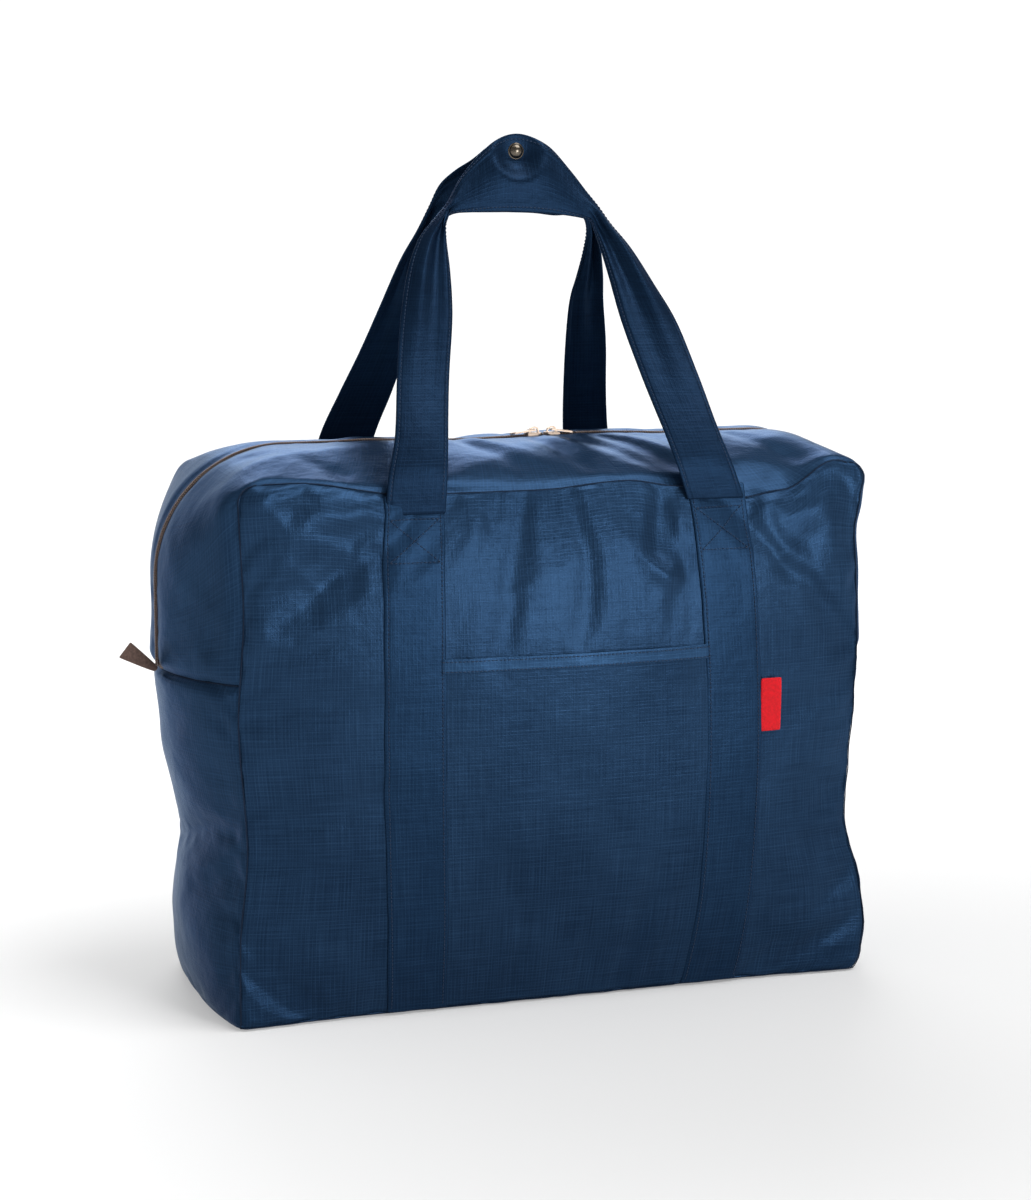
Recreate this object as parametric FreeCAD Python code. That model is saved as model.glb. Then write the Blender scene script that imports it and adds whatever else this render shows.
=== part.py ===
import FreeCAD, Part

import math
import os

from FreeCAD import Vector

# A foldable travel tote in thin cloth: a zipped box of five panels, two sewn handle loops that snap
# together over the top, a slip pocket in front and a packing pouch inside.
# Millimetres. X runs along the bag, -Y is the front, +Z is up, and the origin is the middle of the base.

# --- shell, seam to seam -------------------------------------------------------------------------
WIDTH = 480.0
DEPTH = 190.0
SEAM_TOP = 390.0            # top seams of the front and back panels
RIDGE_TOP = 408.0           # zip line along the top
SIDE_SEAM = 248.0           # where the zip gussets meet the side panels
LEFT_BULGE = 38.0           # how far the zip line stands out from the end seams
RIGHT_BULGE = 20.0          # the filled bag is slacker at this end
BASE_END_BULGE = 14.0
PANEL_BULGE = 15.0          # front and back panels, in the middle
SEAM_CORNER_R = 20.0
LEFT_CORNER_R = 95.0        # of the zip line where it turns over the top corner
RIGHT_CORNER_R = 75.0
CLOTH = 1.2                 # doubled cloth at its seams
SEAM_GAP = 0.1              # between pieces sewn together
FREE_GAP = 0.4              # between pieces that move apart

# --- zip, depths measured down from the outer face of the gusset -----------------------------------
GUSSET_EDGE = 5.0           # from the zip's middle to the gusset's folded edge
TAPE_DEPTH = (1.4, 2.1)
TAPE_REACH = (1.4, 14.0)
COIL_DEPTH = (-0.7, 1.3)
COIL_REACH = (0.15, 2.6)
COIL_STOP = 7.0             # the corner coil ends this far from the part of the top that lifts
FLAP_HALF = 166.0           # half the length of the top that lifts when the zip is open
CORNER_STEPS = 6

# --- zip sliders -----------------------------------------------------------------------------------
SLIDERS_X = 18.0            # the two sliders meet a little off the middle
SLIDER_NOSE = 1.5           # from that meeting point to each slider's nose
SLIDER_LENGTH = 12.5
SLIDER_WIDTH = 8.8
SLIDER_TAPER = 0.8          # how much narrower each edge is at the tail
SLIDER_CHAMFER = 1.5
SLIDER_PLATE = 1.3
RIM_INSET = (3.0, 1.5)      # the side rims start and stop short of the nose and the tail
POST_R = 1.1
POST_INSET = 2.0
BAIL_INSET = 5.5            # from the nose to the middle of the bail
BAIL_WIDTH = 2.2
BAIL_SPAN = 8.5
BAIL_RISE = 4.2
BAIL_WALL = 1.1
BAIL_SINK = 0.5             # into the plate
BAIL_SHOULDER, BAIL_CROWN = 0.75, 0.35      # shares of the half span where the arch turns
PULL_BAR_R = 0.75
PULL_BAR_RISE = 1.9
PULL_LENGTH = 19.0
PULL_WIDTH = 6.6
PULL_PLATE = 1.2
PULL_EYE = 1.0              # room in the pull's eye beyond the bail
PULL_SLOT = (5.0, 2.5)      # from the tip
PULL_SLOT_HALF = 1.2
PULL_DROOP = 8.0            # degrees that the pull leans down to lie on the cloth

# --- straps, handles and snap ----------------------------------------------------------------------
STRAP_WIDTH = 45.0
STRAP_CLOTH = 1.5
STRAP_TOP = 378.0
FRONT_STRAPS = ((-111.0, -6.0), (117.0, 11.0))     # each strap's middle line at its ends, and its bow
BACK_STRAPS = ((-111.0, -6.0), (96.0, 6.0))
HANDLE_PIVOT_Z = 380.0
HANDLE_FOOT = 382.5         # the free strap starts just above its pivot
HANDLE_CLOTH = 2.0
HANDLE_PIVOT_OUT = 98.6     # from the bag's middle plane
BEND_OUT, BEND_Z = 98.2, 392.0      # the strap stands upright to here, then leans in over the bag
SHOULDER_OUT, SHOULDER_Z = 8.0, 573.0
APEX_OUT, APEX_Z = 2.6, 631.0
APEX_SPARE = 1.0            # the section runs on past the apex, and the outline trims it
SNAP_X, SNAP_Z, SNAP_OUT = -5.0, 618.0, 3.8
SNAP_STAND = 0.8            # seats the flat snap pieces clear of the sloping grip
CAP_R, CAP_RISE = 5.5, 2.6
SOCKET_R, SOCKET_HOLE_R = 5.0, 3.6
SOCKET_DEPTH = 2.4
STUD_BASE_R, STUD_R = 4.6, 2.1
STUD_FLANGE, STUD_RISE = 0.8, 1.3

# --- pockets, label and tabs -----------------------------------------------------------------------
POCKET_TOP = 262.0
POCKET_HEM = 10.0
POCKET_GAP = 9.0
LABEL_TOP, LABEL_BOTTOM = 234.0, 194.0
LABEL_OUT = 15.0
LABEL_STAND = 3.0           # off the panel, level with the outside of the full strap
LABEL_CLOTH = 0.8
TAB_OUT, TAB_RISE = 27.0, 21.0
TAB_ROOT_HALF = 4.0
TAB_ROOT_SLANT = 1.0
TAB_LOW, TAB_HIGH = 0.5, 0.6        # shares of the rise and of the reach at the slanting cut end
TAB_WIDTH = 13.0
TAB_CLOTH = 2.0
TAB_GAP = 2.4               # from the side seam, so that a tab flexes clear of the zip
BINDING_REACH, BINDING_INSET = 8.0, 2.6
POUCH_HALF, POUCH_BOTTOM, POUCH_TOP = 100.0, 150.0, 326.0
POUCH_GAP = 6.0
POUCH_ZIP_Z, POUCH_ZIP_Y, POUCH_ZIP_HALF = 334.0, 98.0, 88.0
POUCH_TAPE_HALF, POUCH_TAPE_END, POUCH_TAPE_CLOTH = 7.0, 6.0, 0.8
POUCH_COIL_HALF, POUCH_COIL_RISE = 2.0, 1.6
POUCH_SLIDER_INSET, POUCH_SLIDER_HALF, POUCH_SLIDER_RISE = 10.0, 4.0, 3.4
POUCH_CHANNEL_HALF, POUCH_CHANNEL_RISE = 2.5, 2.1
POUCH_PULL_HALF, POUCH_PULL_PLATE = 2.5, 1.0
POUCH_PULL_DROP, POUCH_PULL_ROOT = 18.0, 1.0

HALF_W, HALF_D = WIDTH / 2, DEPTH / 2
PANEL_MID = SEAM_TOP / 2
POCKET_MIDDLE = (FRONT_STRAPS[0][0] + FRONT_STRAPS[1][0]) / 2
POCKET_HALF = (FRONT_STRAPS[1][0] - FRONT_STRAPS[0][0]) / 2


# --- building blocks -------------------------------------------------------------------------------
def box(low, high):
    size = Vector(*high) - Vector(*low)
    return Part.makeBox(size.x, size.y, size.z, Vector(*low))


def polygon_prism(points, direction):
    wire = Part.makePolygon(points + [points[0]])
    return Part.Face(wire).extrude(direction)


def centred_cylinder(radius, start, end):
    along = end - start
    return Part.makeCylinder(radius, along.Length, start, along)


def parabola_poles(samples):
    """Poles of the parabola through its start, middle and end points."""
    start, middle, end = samples
    return [start, middle * 2 - (start + end) * 0.5, end]


def three(span):
    return span[0], (span[0] + span[1]) / 2, span[1]


def parabolic_sheet(place, p_span, q_span, outer, inner):
    """A closed sheet between two surfaces that are parabolic both ways.
    outer and inner give the height at (p, q), and place turns (p, q, height) into a point."""
    nets = []
    for height in (outer, inner):
        rows = []
        for p in three(p_span):
            rows.append(parabola_poles([place(p, q, height(p, q)) for q in three(q_span)]))
        columns = [parabola_poles([row[j] for row in rows]) for j in range(3)]
        nets.append([[columns[j][i] for j in range(3)] for i in range(3)])
    faces = []
    for net in nets:
        surface = Part.BezierSurface()
        surface.increase(2, 2)
        for i in range(3):
            for j in range(3):
                surface.setPole(i + 1, j + 1, net[i][j])
        faces.append(surface.toShape())
    borders = [
        lambda net: net[0],
        lambda net: net[2],
        lambda net: [row[0] for row in net],
        lambda net: [row[2] for row in net],
    ]
    for border in borders:
        edges = []
        for net in nets:
            curve = Part.BezierCurve()
            curve.setPoles(border(net))
            edges.append(curve.toShape())
        faces.append(Part.makeRuledSurface(*edges))
    return closed(faces)


def closed(faces):
    shell = Part.makeShell(faces)
    shell.sewShape()
    solid = Part.makeSolid(shell)
    if solid.Volume < 0:
        solid.reverse()
    return solid


def mirror_x(shape):
    return shape.mirror(Vector(0, 0, 0), Vector(1, 0, 0))


def mirror_y(shape):
    return shape.mirror(Vector(0, 0, 0), Vector(0, 1, 0))


# --- front and back panels and what is sewn on them --------------------------------------------------
def panel_out(x, z):
    """Distance of the panel's outer face from the bag's middle plane."""
    return HALF_D + PANEL_BULGE * (1 - (x / HALF_W) ** 2) * (1 - (z / PANEL_MID - 1) ** 2)


def on_front(x, z, out):
    return Vector(x, -out, z)


def panel_layer(x_span, z_span, gap, cloth):
    """A layer of cloth on the front panel, gap away from its outer face."""
    return parabolic_sheet(
        on_front,
        x_span,
        z_span,
        lambda x, z: panel_out(x, z) + gap + cloth,
        lambda x, z: panel_out(x, z) + gap,
    )


def panel_outline(half_width, top, corner_r):
    """Upright outline of a panel with rounded top corners, as a prism through the whole bag."""
    arch = half_width - corner_r
    shoulder = top - corner_r
    diagonal = corner_r * math.sqrt(0.5)

    def corner(side):
        return Part.Arc(
            Vector(side * half_width, 0, shoulder),
            Vector(side * (arch + diagonal), 0, shoulder + diagonal),
            Vector(side * arch, 0, top),
        ).toShape()

    edges = [
        Part.makeLine(Vector(-half_width, 0, 0), Vector(half_width, 0, 0)),
        Part.makeLine(Vector(half_width, 0, 0), Vector(half_width, 0, shoulder)),
        corner(1),
        Part.makeLine(Vector(arch, 0, top), Vector(-arch, 0, top)),
        corner(-1),
        Part.makeLine(Vector(-half_width, 0, shoulder), Vector(-half_width, 0, 0)),
    ]
    face = Part.Face(Part.Wire(edges))
    face.translate(Vector(0, -WIDTH, 0))
    return face.extrude(Vector(0, 2 * WIDTH, 0))


def panel():
    sheet = panel_layer((-HALF_W, HALF_W), (0, SEAM_TOP), -CLOTH, CLOTH)
    return sheet.common(panel_outline(HALF_W, SEAM_TOP, SEAM_CORNER_R)).Solids[0]


def strap_line(strap, z):
    """The x of a strap's middle line; the full panel pushes it sideways in the middle."""
    x, bow = strap
    return x + bow * (1 - (z / PANEL_MID - 1) ** 2)


def between_lines(left, right, z_span):
    """A prism through the bag between two bowed upright lines, given as functions of z."""
    edges = []
    for line, span in ((left, z_span[::-1]), (right, z_span)):
        curve = Part.BezierCurve()
        curve.setPoles(parabola_poles([Vector(line(z), -WIDTH, z) for z in three(span)]))
        edges.append(curve.toShape())
    down, up = edges
    low = Part.makeLine(down.Vertexes[-1].Point, up.Vertexes[0].Point)
    high = Part.makeLine(up.Vertexes[-1].Point, down.Vertexes[0].Point)
    return Part.Face(Part.Wire([down, low, up, high])).extrude(Vector(0, WIDTH, 0))


def strap_band(strap):
    half = STRAP_WIDTH / 2
    z_span = (CLOTH, STRAP_TOP)
    reach = half + abs(strap[1]) + CLOTH
    layer = panel_layer((strap[0] - reach, strap[0] + reach), z_span, SEAM_GAP, STRAP_CLOTH)
    outline = between_lines(
        lambda z: strap_line(strap, z) - half, lambda z: strap_line(strap, z) + half, z_span
    )
    return layer.common(outline).Solids[0]


def pocket_out(x, z):
    """The pocket cloth stands off the panel, most at the middle of its mouth."""
    stand = POCKET_GAP * (1 - ((x - POCKET_MIDDLE) / POCKET_HALF) ** 2) * z / POCKET_TOP
    return panel_out(x, z) + SEAM_GAP + stand


def pocket_layer(z_span, gap, cloth):
    """A layer of the pocket between the inner edges of the two front straps."""
    layer = parabolic_sheet(
        on_front,
        (POCKET_MIDDLE - POCKET_HALF, POCKET_MIDDLE + POCKET_HALF),
        z_span,
        lambda x, z: pocket_out(x, z) + gap + cloth,
        lambda x, z: pocket_out(x, z) + gap,
    )
    edge = STRAP_WIDTH / 2 + SEAM_GAP
    outline = between_lines(
        lambda z: strap_line(FRONT_STRAPS[0], z) + edge,
        lambda z: strap_line(FRONT_STRAPS[1], z) - edge,
        z_span,
    )
    return layer.common(outline).Solids[0]


def label():
    """Flag tag that stands out sideways from the edge of the right front strap."""
    root_x = strap_line(FRONT_STRAPS[1], LABEL_BOTTOM) + STRAP_WIDTH / 2 + FREE_GAP
    out = panel_out(root_x, LABEL_TOP) + LABEL_STAND
    return box((root_x, -out - LABEL_CLOTH, LABEL_BOTTOM), (root_x + LABEL_OUT, -out, LABEL_TOP))


# --- base and sides ----------------------------------------------------------------------------------
def inner_half_depth():
    return HALF_D - CLOTH - SEAM_GAP


def side_out(y, z, bulge):
    out = BASE_END_BULGE + (bulge - BASE_END_BULGE) * z / SIDE_SEAM
    return HALF_W + out * (1 - (y / HALF_D) ** 2)


def side_panel(bulge):
    half = inner_half_depth()
    return parabolic_sheet(
        lambda y, z, out: Vector(out, y, z),
        (-half, half),
        (CLOTH + SEAM_GAP, SIDE_SEAM - SEAM_GAP),
        lambda y, z: side_out(y, z, bulge),
        lambda y, z: side_out(y, z, bulge) - CLOTH,
    )


def base_panel():
    half = inner_half_depth()

    def end(side):
        curve = Part.BezierCurve()
        span = three((-half * side, half * side))
        ends = [Vector(side * side_out(y, 0, BASE_END_BULGE), y, 0) for y in span]
        curve.setPoles(parabola_poles(ends))
        return curve.toShape()

    right, left = end(1), end(-1)
    front = Part.makeLine(left.Vertexes[-1].Point, right.Vertexes[0].Point)
    back = Part.makeLine(right.Vertexes[-1].Point, left.Vertexes[0].Point)
    return Part.Face(Part.Wire([front, right, back, left])).extrude(Vector(0, 0, CLOTH))


# --- zip gusset: cloth, tape and coil from one side seam, over the top, to the other -----------------
def corner_stations(depth, bulge, corner_r):
    """Pairs of (seam, ridge) points, x and z, from the side seam up round the corner to the flap."""
    ridge_x = HALF_W + bulge
    stations = [((HALF_W - depth, SIDE_SEAM), (ridge_x - depth, SIDE_SEAM))]
    for step in range(CORNER_STEPS + 1):
        angle = math.pi / 2 * step / CORNER_STEPS
        pair = []
        for half_width, top, radius in (
            (HALF_W, SEAM_TOP, SEAM_CORNER_R),
            (ridge_x, RIDGE_TOP, corner_r),
        ):
            reach = radius - depth
            x = half_width - radius + reach * math.cos(angle)
            z = top - radius + reach * math.sin(angle)
            pair.append((x, z))
        stations.append(tuple(pair))
    end = FLAP_HALF + FREE_GAP
    stations.append(((end, SEAM_TOP - depth), (end, RIDGE_TOP - depth)))
    return stations


def gusset_point(station, y):
    seam, ridge = station
    rise = 1 - (y / HALF_D) ** 2
    return Vector(seam[0] + (ridge[0] - seam[0]) * rise, y, seam[1] + (ridge[1] - seam[1]) * rise)


def gusset_section(outer_station, inner_station, reach):
    """Wire round the cloth's section on the front half, from reach[0] to reach[1] off the middle."""
    near, far = -reach[0], -reach[1]
    curves = []
    for station, span in ((outer_station, (far, near)), (inner_station, (near, far))):
        curve = Part.BezierCurve()
        curve.setPoles(parabola_poles([gusset_point(station, y) for y in three(span)]))
        curves.append(curve.toShape())
    outer, inner = curves
    return Part.Wire([
        outer,
        Part.makeLine(outer.Vertexes[-1].Point, inner.Vertexes[0].Point),
        inner,
        Part.makeLine(inner.Vertexes[-1].Point, outer.Vertexes[0].Point),
    ])


def corner_strip(bulge, corner_r, depths, reach, end_inset):
    """The strip that climbs the right side and turns over the front right top corner.
    end_inset is how far it stops short of its full length along the top."""
    outer, inner = (corner_stations(depth, bulge, corner_r) for depth in depths)
    sections = [gusset_section(a, b, reach) for a, b in zip(outer, inner)]
    strip = Part.makeLoft(sections, True, True)
    if end_inset:
        limit = FLAP_HALF + FREE_GAP + end_inset
        strip = strip.cut(box((0, -HALF_D, SIDE_SEAM), (limit, HALF_D, RIDGE_TOP + CLOTH)))
    return strip


def top_strip(depths, reach, x_span):
    """The same strip along the straight top, where it lifts as a flap."""
    stations = [((x_span[0], SEAM_TOP - d), (x_span[0], RIDGE_TOP - d)) for d in depths]
    section = gusset_section(stations[0], stations[1], reach)
    return Part.Face(section).extrude(Vector(x_span[1] - x_span[0], 0, 0))


# --- sliders and pulls, made for the right side with the nose towards the other slider ---------------
PLATE_TOP_Z = RIDGE_TOP - COIL_DEPTH[0] + FREE_GAP
PLATE_LOW_Z = RIDGE_TOP - TAPE_DEPTH[1] - FREE_GAP
PULL_BAR_X = SLIDER_NOSE + BAIL_INSET
PULL_BAR_Z = PLATE_TOP_Z + SLIDER_PLATE + PULL_BAR_RISE


def slider_plate(low_z):
    """A plate that is wide at the nose, where the coil halves part, and narrower at the tail."""
    nose, tail = SLIDER_WIDTH / 2, SLIDER_WIDTH / 2 - SLIDER_TAPER
    start, end = SLIDER_NOSE, SLIDER_NOSE + SLIDER_LENGTH
    chamfer = SLIDER_CHAMFER
    outline = [
        Vector(start, -nose + chamfer, low_z),
        Vector(start + chamfer, -nose, low_z),
        Vector(end - chamfer, -tail, low_z),
        Vector(end, -tail + chamfer, low_z),
        Vector(end, tail - chamfer, low_z),
        Vector(end - chamfer, tail, low_z),
        Vector(start + chamfer, nose, low_z),
        Vector(start, nose - chamfer, low_z),
    ]
    return polygon_prism(outline, Vector(0, 0, SLIDER_PLATE))


def slider():
    upper = slider_plate(PLATE_TOP_Z)
    lower = slider_plate(PLATE_LOW_Z - SLIDER_PLATE)
    post_x = SLIDER_NOSE + POST_INSET
    post = centred_cylinder(
        POST_R,
        Vector(post_x, 0, PLATE_LOW_Z - SLIDER_PLATE / 2),
        Vector(post_x, 0, PLATE_TOP_Z + SLIDER_PLATE / 2),
    )
    body = upper.fuse([lower, post])
    flange_low = RIDGE_TOP - TAPE_DEPTH[0] + FREE_GAP
    for side in (-1, 1):
        inner, outer = side * (COIL_REACH[1] + FREE_GAP), side * (SLIDER_WIDTH / 2 - SLIDER_TAPER)
        low_y, high_y = sorted((inner, outer))
        rim = box(
            (SLIDER_NOSE + RIM_INSET[0], low_y, flange_low),
            (SLIDER_NOSE + SLIDER_LENGTH - RIM_INSET[1], high_y, PLATE_TOP_Z + SLIDER_PLATE / 2),
        )
        body = body.fuse(rim)
    return body.fuse(bail()).removeSplitter()


def bail():
    """The arch over the slider that holds the pull."""
    base = PLATE_TOP_Z + SLIDER_PLATE

    def arch(half, rise):
        half_outline = [
            (half, -BAIL_SINK),
            (half * BAIL_SHOULDER, rise * BAIL_SHOULDER),
            (half * BAIL_CROWN, rise),
        ]
        tail_side = [Vector(PULL_BAR_X + x, -BAIL_WIDTH / 2, base + z) for x, z in half_outline]
        nose_side = [Vector(PULL_BAR_X - x, -BAIL_WIDTH / 2, base + z) for x, z in half_outline]
        return nose_side + tail_side[::-1]

    across = Vector(0, BAIL_WIDTH, 0)
    outside = polygon_prism(arch(BAIL_SPAN / 2, BAIL_RISE), across)
    inside = polygon_prism(arch(BAIL_SPAN / 2 - BAIL_WALL, BAIL_RISE - BAIL_WALL), across)
    return outside.cut(inside)


def pull():
    """A flat tongue on a bar that passes under the bail; it droops to lie on the cloth."""
    arm_in, arm_out = BAIL_WIDTH / 2 + FREE_GAP, PULL_WIDTH / 2
    low_z, high_z = PULL_BAR_Z - PULL_PLATE / 2, PULL_BAR_Z + PULL_PLATE / 2
    eye_end = PULL_BAR_X + BAIL_SPAN / 2 + PULL_EYE
    tip = PULL_BAR_X + PULL_LENGTH
    bar_ends = [Vector(PULL_BAR_X, side * arm_out, PULL_BAR_Z) for side in (-1, 1)]
    bar = centred_cylinder(PULL_BAR_R, *bar_ends)
    tongue = box((eye_end, -arm_out, low_z), (tip - arm_out, arm_out, high_z))
    tip_centre = [Vector(tip - arm_out, 0, z) for z in (low_z, high_z)]
    round_end = centred_cylinder(arm_out, *tip_centre)
    body = tongue.fuse([bar, round_end])
    for side in (-1, 1):
        low_y, high_y = sorted((side * arm_in, side * arm_out))
        arm = box((PULL_BAR_X, low_y, low_z), (eye_end, high_y, high_z))
        body = body.fuse(arm)
    slot = box((tip - PULL_SLOT[0], -PULL_SLOT_HALF, low_z), (tip - PULL_SLOT[1], PULL_SLOT_HALF, high_z))
    body = body.cut(slot).removeSplitter()
    body.rotate(Vector(PULL_BAR_X, 0, PULL_BAR_Z), Vector(0, 1, 0), PULL_DROOP)
    return body


def beside_meeting(shape, side):
    """Places a slider or pull on its side of the point where the two sliders meet."""
    placed = shape if side > 0 else mirror_x(shape)
    placed = placed.copy()
    placed.translate(Vector(SLIDERS_X, 0, 0))
    return placed


# --- handles ------------------------------------------------------------------------------------------
# Outlines in x and z. The outer line runs from the left foot over the apex to the right foot, and the
# inner line comes back up the right strap, under the grip and down the left strap.
FRONT_OUTER = [
    (-133, HANDLE_FOOT), (-123, 417), (-107, 488), (-100, 512), (-82, 556), (-68, 574), (-40, 608),
    (-17, 626), (-5, 631), (7, 628), (30, 612), (51, 588), (63, 566), (84, 529), (139, HANDLE_FOOT),
]
FRONT_INNER = [
    (94, HANDLE_FOOT), (76, 438), (60, 520), (51, 566), (20, 572), (-30, 574), (-58, 573),
    (-63, 543), (-69, 493), (-88, HANDLE_FOOT),
]
BACK_OUTER = [
    (-134, HANDLE_FOOT), (-119, 436), (-90, 527), (-67, 576), (-46, 603), (-17, 626), (-5, 631),
    (7, 628), (30, 612), (51, 588), (67, 562), (76, 537), (91, 483), (118, HANDLE_FOOT),
]
BACK_INNER = [
    (73, HANDLE_FOOT), (62, 480), (53, 540), (53, 566), (20, 572), (-30, 574), (-58, 573),
    (-62, 520), (-78, 431), (-89, HANDLE_FOOT),
]


def handle(outer, inner):
    """A flat loop cut to its outline: upright at its foot, then leaning in over the bag."""
    corners = [Vector(x, -DEPTH, z) for x, z in outer + inner]
    outline = polygon_prism(corners, Vector(0, DEPTH, 0))
    middle_line = [
        (HANDLE_PIVOT_OUT, HANDLE_PIVOT_Z),
        (BEND_OUT, BEND_Z),
        (SHOULDER_OUT, SHOULDER_Z),
        (APEX_OUT, APEX_Z + APEX_SPARE),
    ]
    half = HANDLE_CLOTH / 2
    front = [Vector(-WIDTH, -out - half, z) for out, z in middle_line]
    back = [Vector(-WIDTH, -out + half, z) for out, z in reversed(middle_line)]
    band = polygon_prism(front + back, Vector(2 * WIDTH, 0, 0))
    return outline.common(band).Solids[0]


def snap_cap():
    """Domed cap on the outer face of the front grip: the end of a sphere."""
    face_y = -SNAP_OUT - HANDLE_CLOTH / 2 - SNAP_STAND
    ball_r = (CAP_R**2 + CAP_RISE**2) / (2 * CAP_RISE)
    ball = Part.makeSphere(ball_r, Vector(SNAP_X, face_y + ball_r - CAP_RISE, SNAP_Z))
    outside = box(
        (SNAP_X - ball_r, face_y - ball_r, SNAP_Z - ball_r),
        (SNAP_X + ball_r, face_y, SNAP_Z + ball_r),
    )
    return ball.common(outside).Solids[0]


def snap_socket():
    """Ring on the inner face of the front grip."""
    face_y = -SNAP_OUT + HANDLE_CLOTH / 2 + SNAP_STAND
    start, end = Vector(SNAP_X, face_y, SNAP_Z), Vector(SNAP_X, face_y + SOCKET_DEPTH, SNAP_Z)
    return centred_cylinder(SOCKET_R, start, end).cut(centred_cylinder(SOCKET_HOLE_R, start, end))


def snap_stud():
    """Flange and stud on the inner face of the back grip; the stud sits in the socket."""
    seat = Vector(SNAP_X, SNAP_OUT - HANDLE_CLOTH / 2 - SNAP_STAND, SNAP_Z)
    flange = centred_cylinder(STUD_BASE_R, seat, seat - Vector(0, STUD_FLANGE, 0))
    stud = centred_cylinder(STUD_R, seat, seat - Vector(0, STUD_FLANGE + STUD_RISE, 0))
    return flange.fuse(stud).removeSplitter()


def snap_post():
    """Flat rivet head on the outer face of the back grip, which holds the stud."""
    start = Vector(SNAP_X, SNAP_OUT + HANDLE_CLOTH / 2 + SNAP_STAND, SNAP_Z)
    return centred_cylinder(STUD_BASE_R, start, start + Vector(0, STUD_FLANGE, 0))


# --- end tab, bindings and packing pouch --------------------------------------------------------------
def standing_tab():
    """Folded webbing at the end of the zip, pinched into the side seam and standing out and up."""
    root_x = HALF_W + LEFT_BULGE + TAB_GAP
    half = TAB_CLOTH / 2
    outline = [
        Vector(root_x, -half, SIDE_SEAM - TAB_ROOT_HALF),
        Vector(root_x + TAB_OUT, -half, SIDE_SEAM + TAB_RISE * TAB_LOW),
        Vector(root_x + TAB_OUT * TAB_HIGH, -half, SIDE_SEAM + TAB_RISE),
        Vector(root_x + TAB_ROOT_SLANT, -half, SIDE_SEAM + TAB_ROOT_HALF),
    ]
    return polygon_prism(outline, Vector(0, TAB_CLOTH, 0))


def hanging_tab():
    """The same webbing at the other end of the zip, where it hangs flat against the side."""
    root_x = HALF_W + RIGHT_BULGE + TAB_GAP
    half = TAB_WIDTH / 2
    return box(
        (root_x, -half, SIDE_SEAM - TAB_OUT),
        (root_x + TAB_CLOTH, half, SIDE_SEAM + TAB_ROOT_SLANT),
    )


def seam_binding():
    """Tape folded over the raw edges inside, up both ends and along the base of the front seam."""
    outer_x, low_z = HALF_W - BINDING_INSET, CLOTH + SEAM_GAP
    outline = [
        Vector(-outer_x, 0, SIDE_SEAM),
        Vector(-outer_x, 0, low_z),
        Vector(outer_x, 0, low_z),
        Vector(outer_x, 0, SIDE_SEAM),
        Vector(outer_x - CLOTH, 0, SIDE_SEAM),
        Vector(outer_x - CLOTH, 0, low_z + CLOTH),
        Vector(-outer_x + CLOTH, 0, low_z + CLOTH),
        Vector(-outer_x + CLOTH, 0, SIDE_SEAM),
    ]
    tape = polygon_prism(outline, Vector(0, BINDING_REACH, 0))
    tape.translate(Vector(0, -inner_half_depth(), 0))
    return tape


def pouch_panel():
    """Sheet sewn on three sides to the inside of the back panel, slightly full."""
    middle = (POUCH_BOTTOM + POUCH_TOP) / 2
    half_height = (POUCH_TOP - POUCH_BOTTOM) / 2

    def inside(x, z):
        full = POUCH_GAP * (1 - (x / POUCH_HALF) ** 2) * (1 - ((z - middle) / half_height) ** 2)
        return panel_out(x, z) - CLOTH - SEAM_GAP - full

    return parabolic_sheet(
        lambda x, z, out: Vector(x, out, z),
        (-POUCH_HALF, POUCH_HALF),
        (POUCH_BOTTOM, POUCH_TOP),
        inside,
        lambda x, z: inside(x, z) - CLOTH,
    )


def around(x_span, y_span, z_span):
    """A box given by its spans, with z measured from the middle of the pouch zip."""
    low, high = zip(x_span, y_span, z_span)
    return box(low[:2] + (POUCH_ZIP_Z + low[2],), high[:2] + (POUCH_ZIP_Z + high[2],))


def pouch_zip():
    """Tape, coil, slider and pull of the pouch's own zip, straight along its top edge."""
    y, half = POUCH_ZIP_Y, POUCH_ZIP_HALF
    tape_end = half + POUCH_TAPE_END
    tape = around(
        (-tape_end, tape_end), (y, y + POUCH_TAPE_CLOTH), (-POUCH_TAPE_HALF, POUCH_TAPE_HALF)
    )
    coil = around((-half, half), (y - POUCH_COIL_RISE, y - SEAM_GAP), (-POUCH_COIL_HALF, POUCH_COIL_HALF))
    middle, reach = POUCH_SLIDER_INSET - half, POUCH_SLIDER_HALF
    slider_low = y - POUCH_SLIDER_RISE
    outer = around((middle - reach, middle + reach), (slider_low, y - FREE_GAP), (-reach, reach))
    channel = around(
        (middle - 2 * reach, middle + 2 * reach),
        (y - POUCH_CHANNEL_RISE, y),
        (-POUCH_CHANNEL_HALF, POUCH_CHANNEL_HALF),
    )
    tongue = around(
        (middle - POUCH_PULL_HALF, middle + POUCH_PULL_HALF),
        (slider_low - FREE_GAP - POUCH_PULL_PLATE, slider_low - FREE_GAP),
        (-POUCH_PULL_DROP, POUCH_PULL_ROOT),
    )
    return tape, coil, outer.cut(channel), tongue


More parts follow.
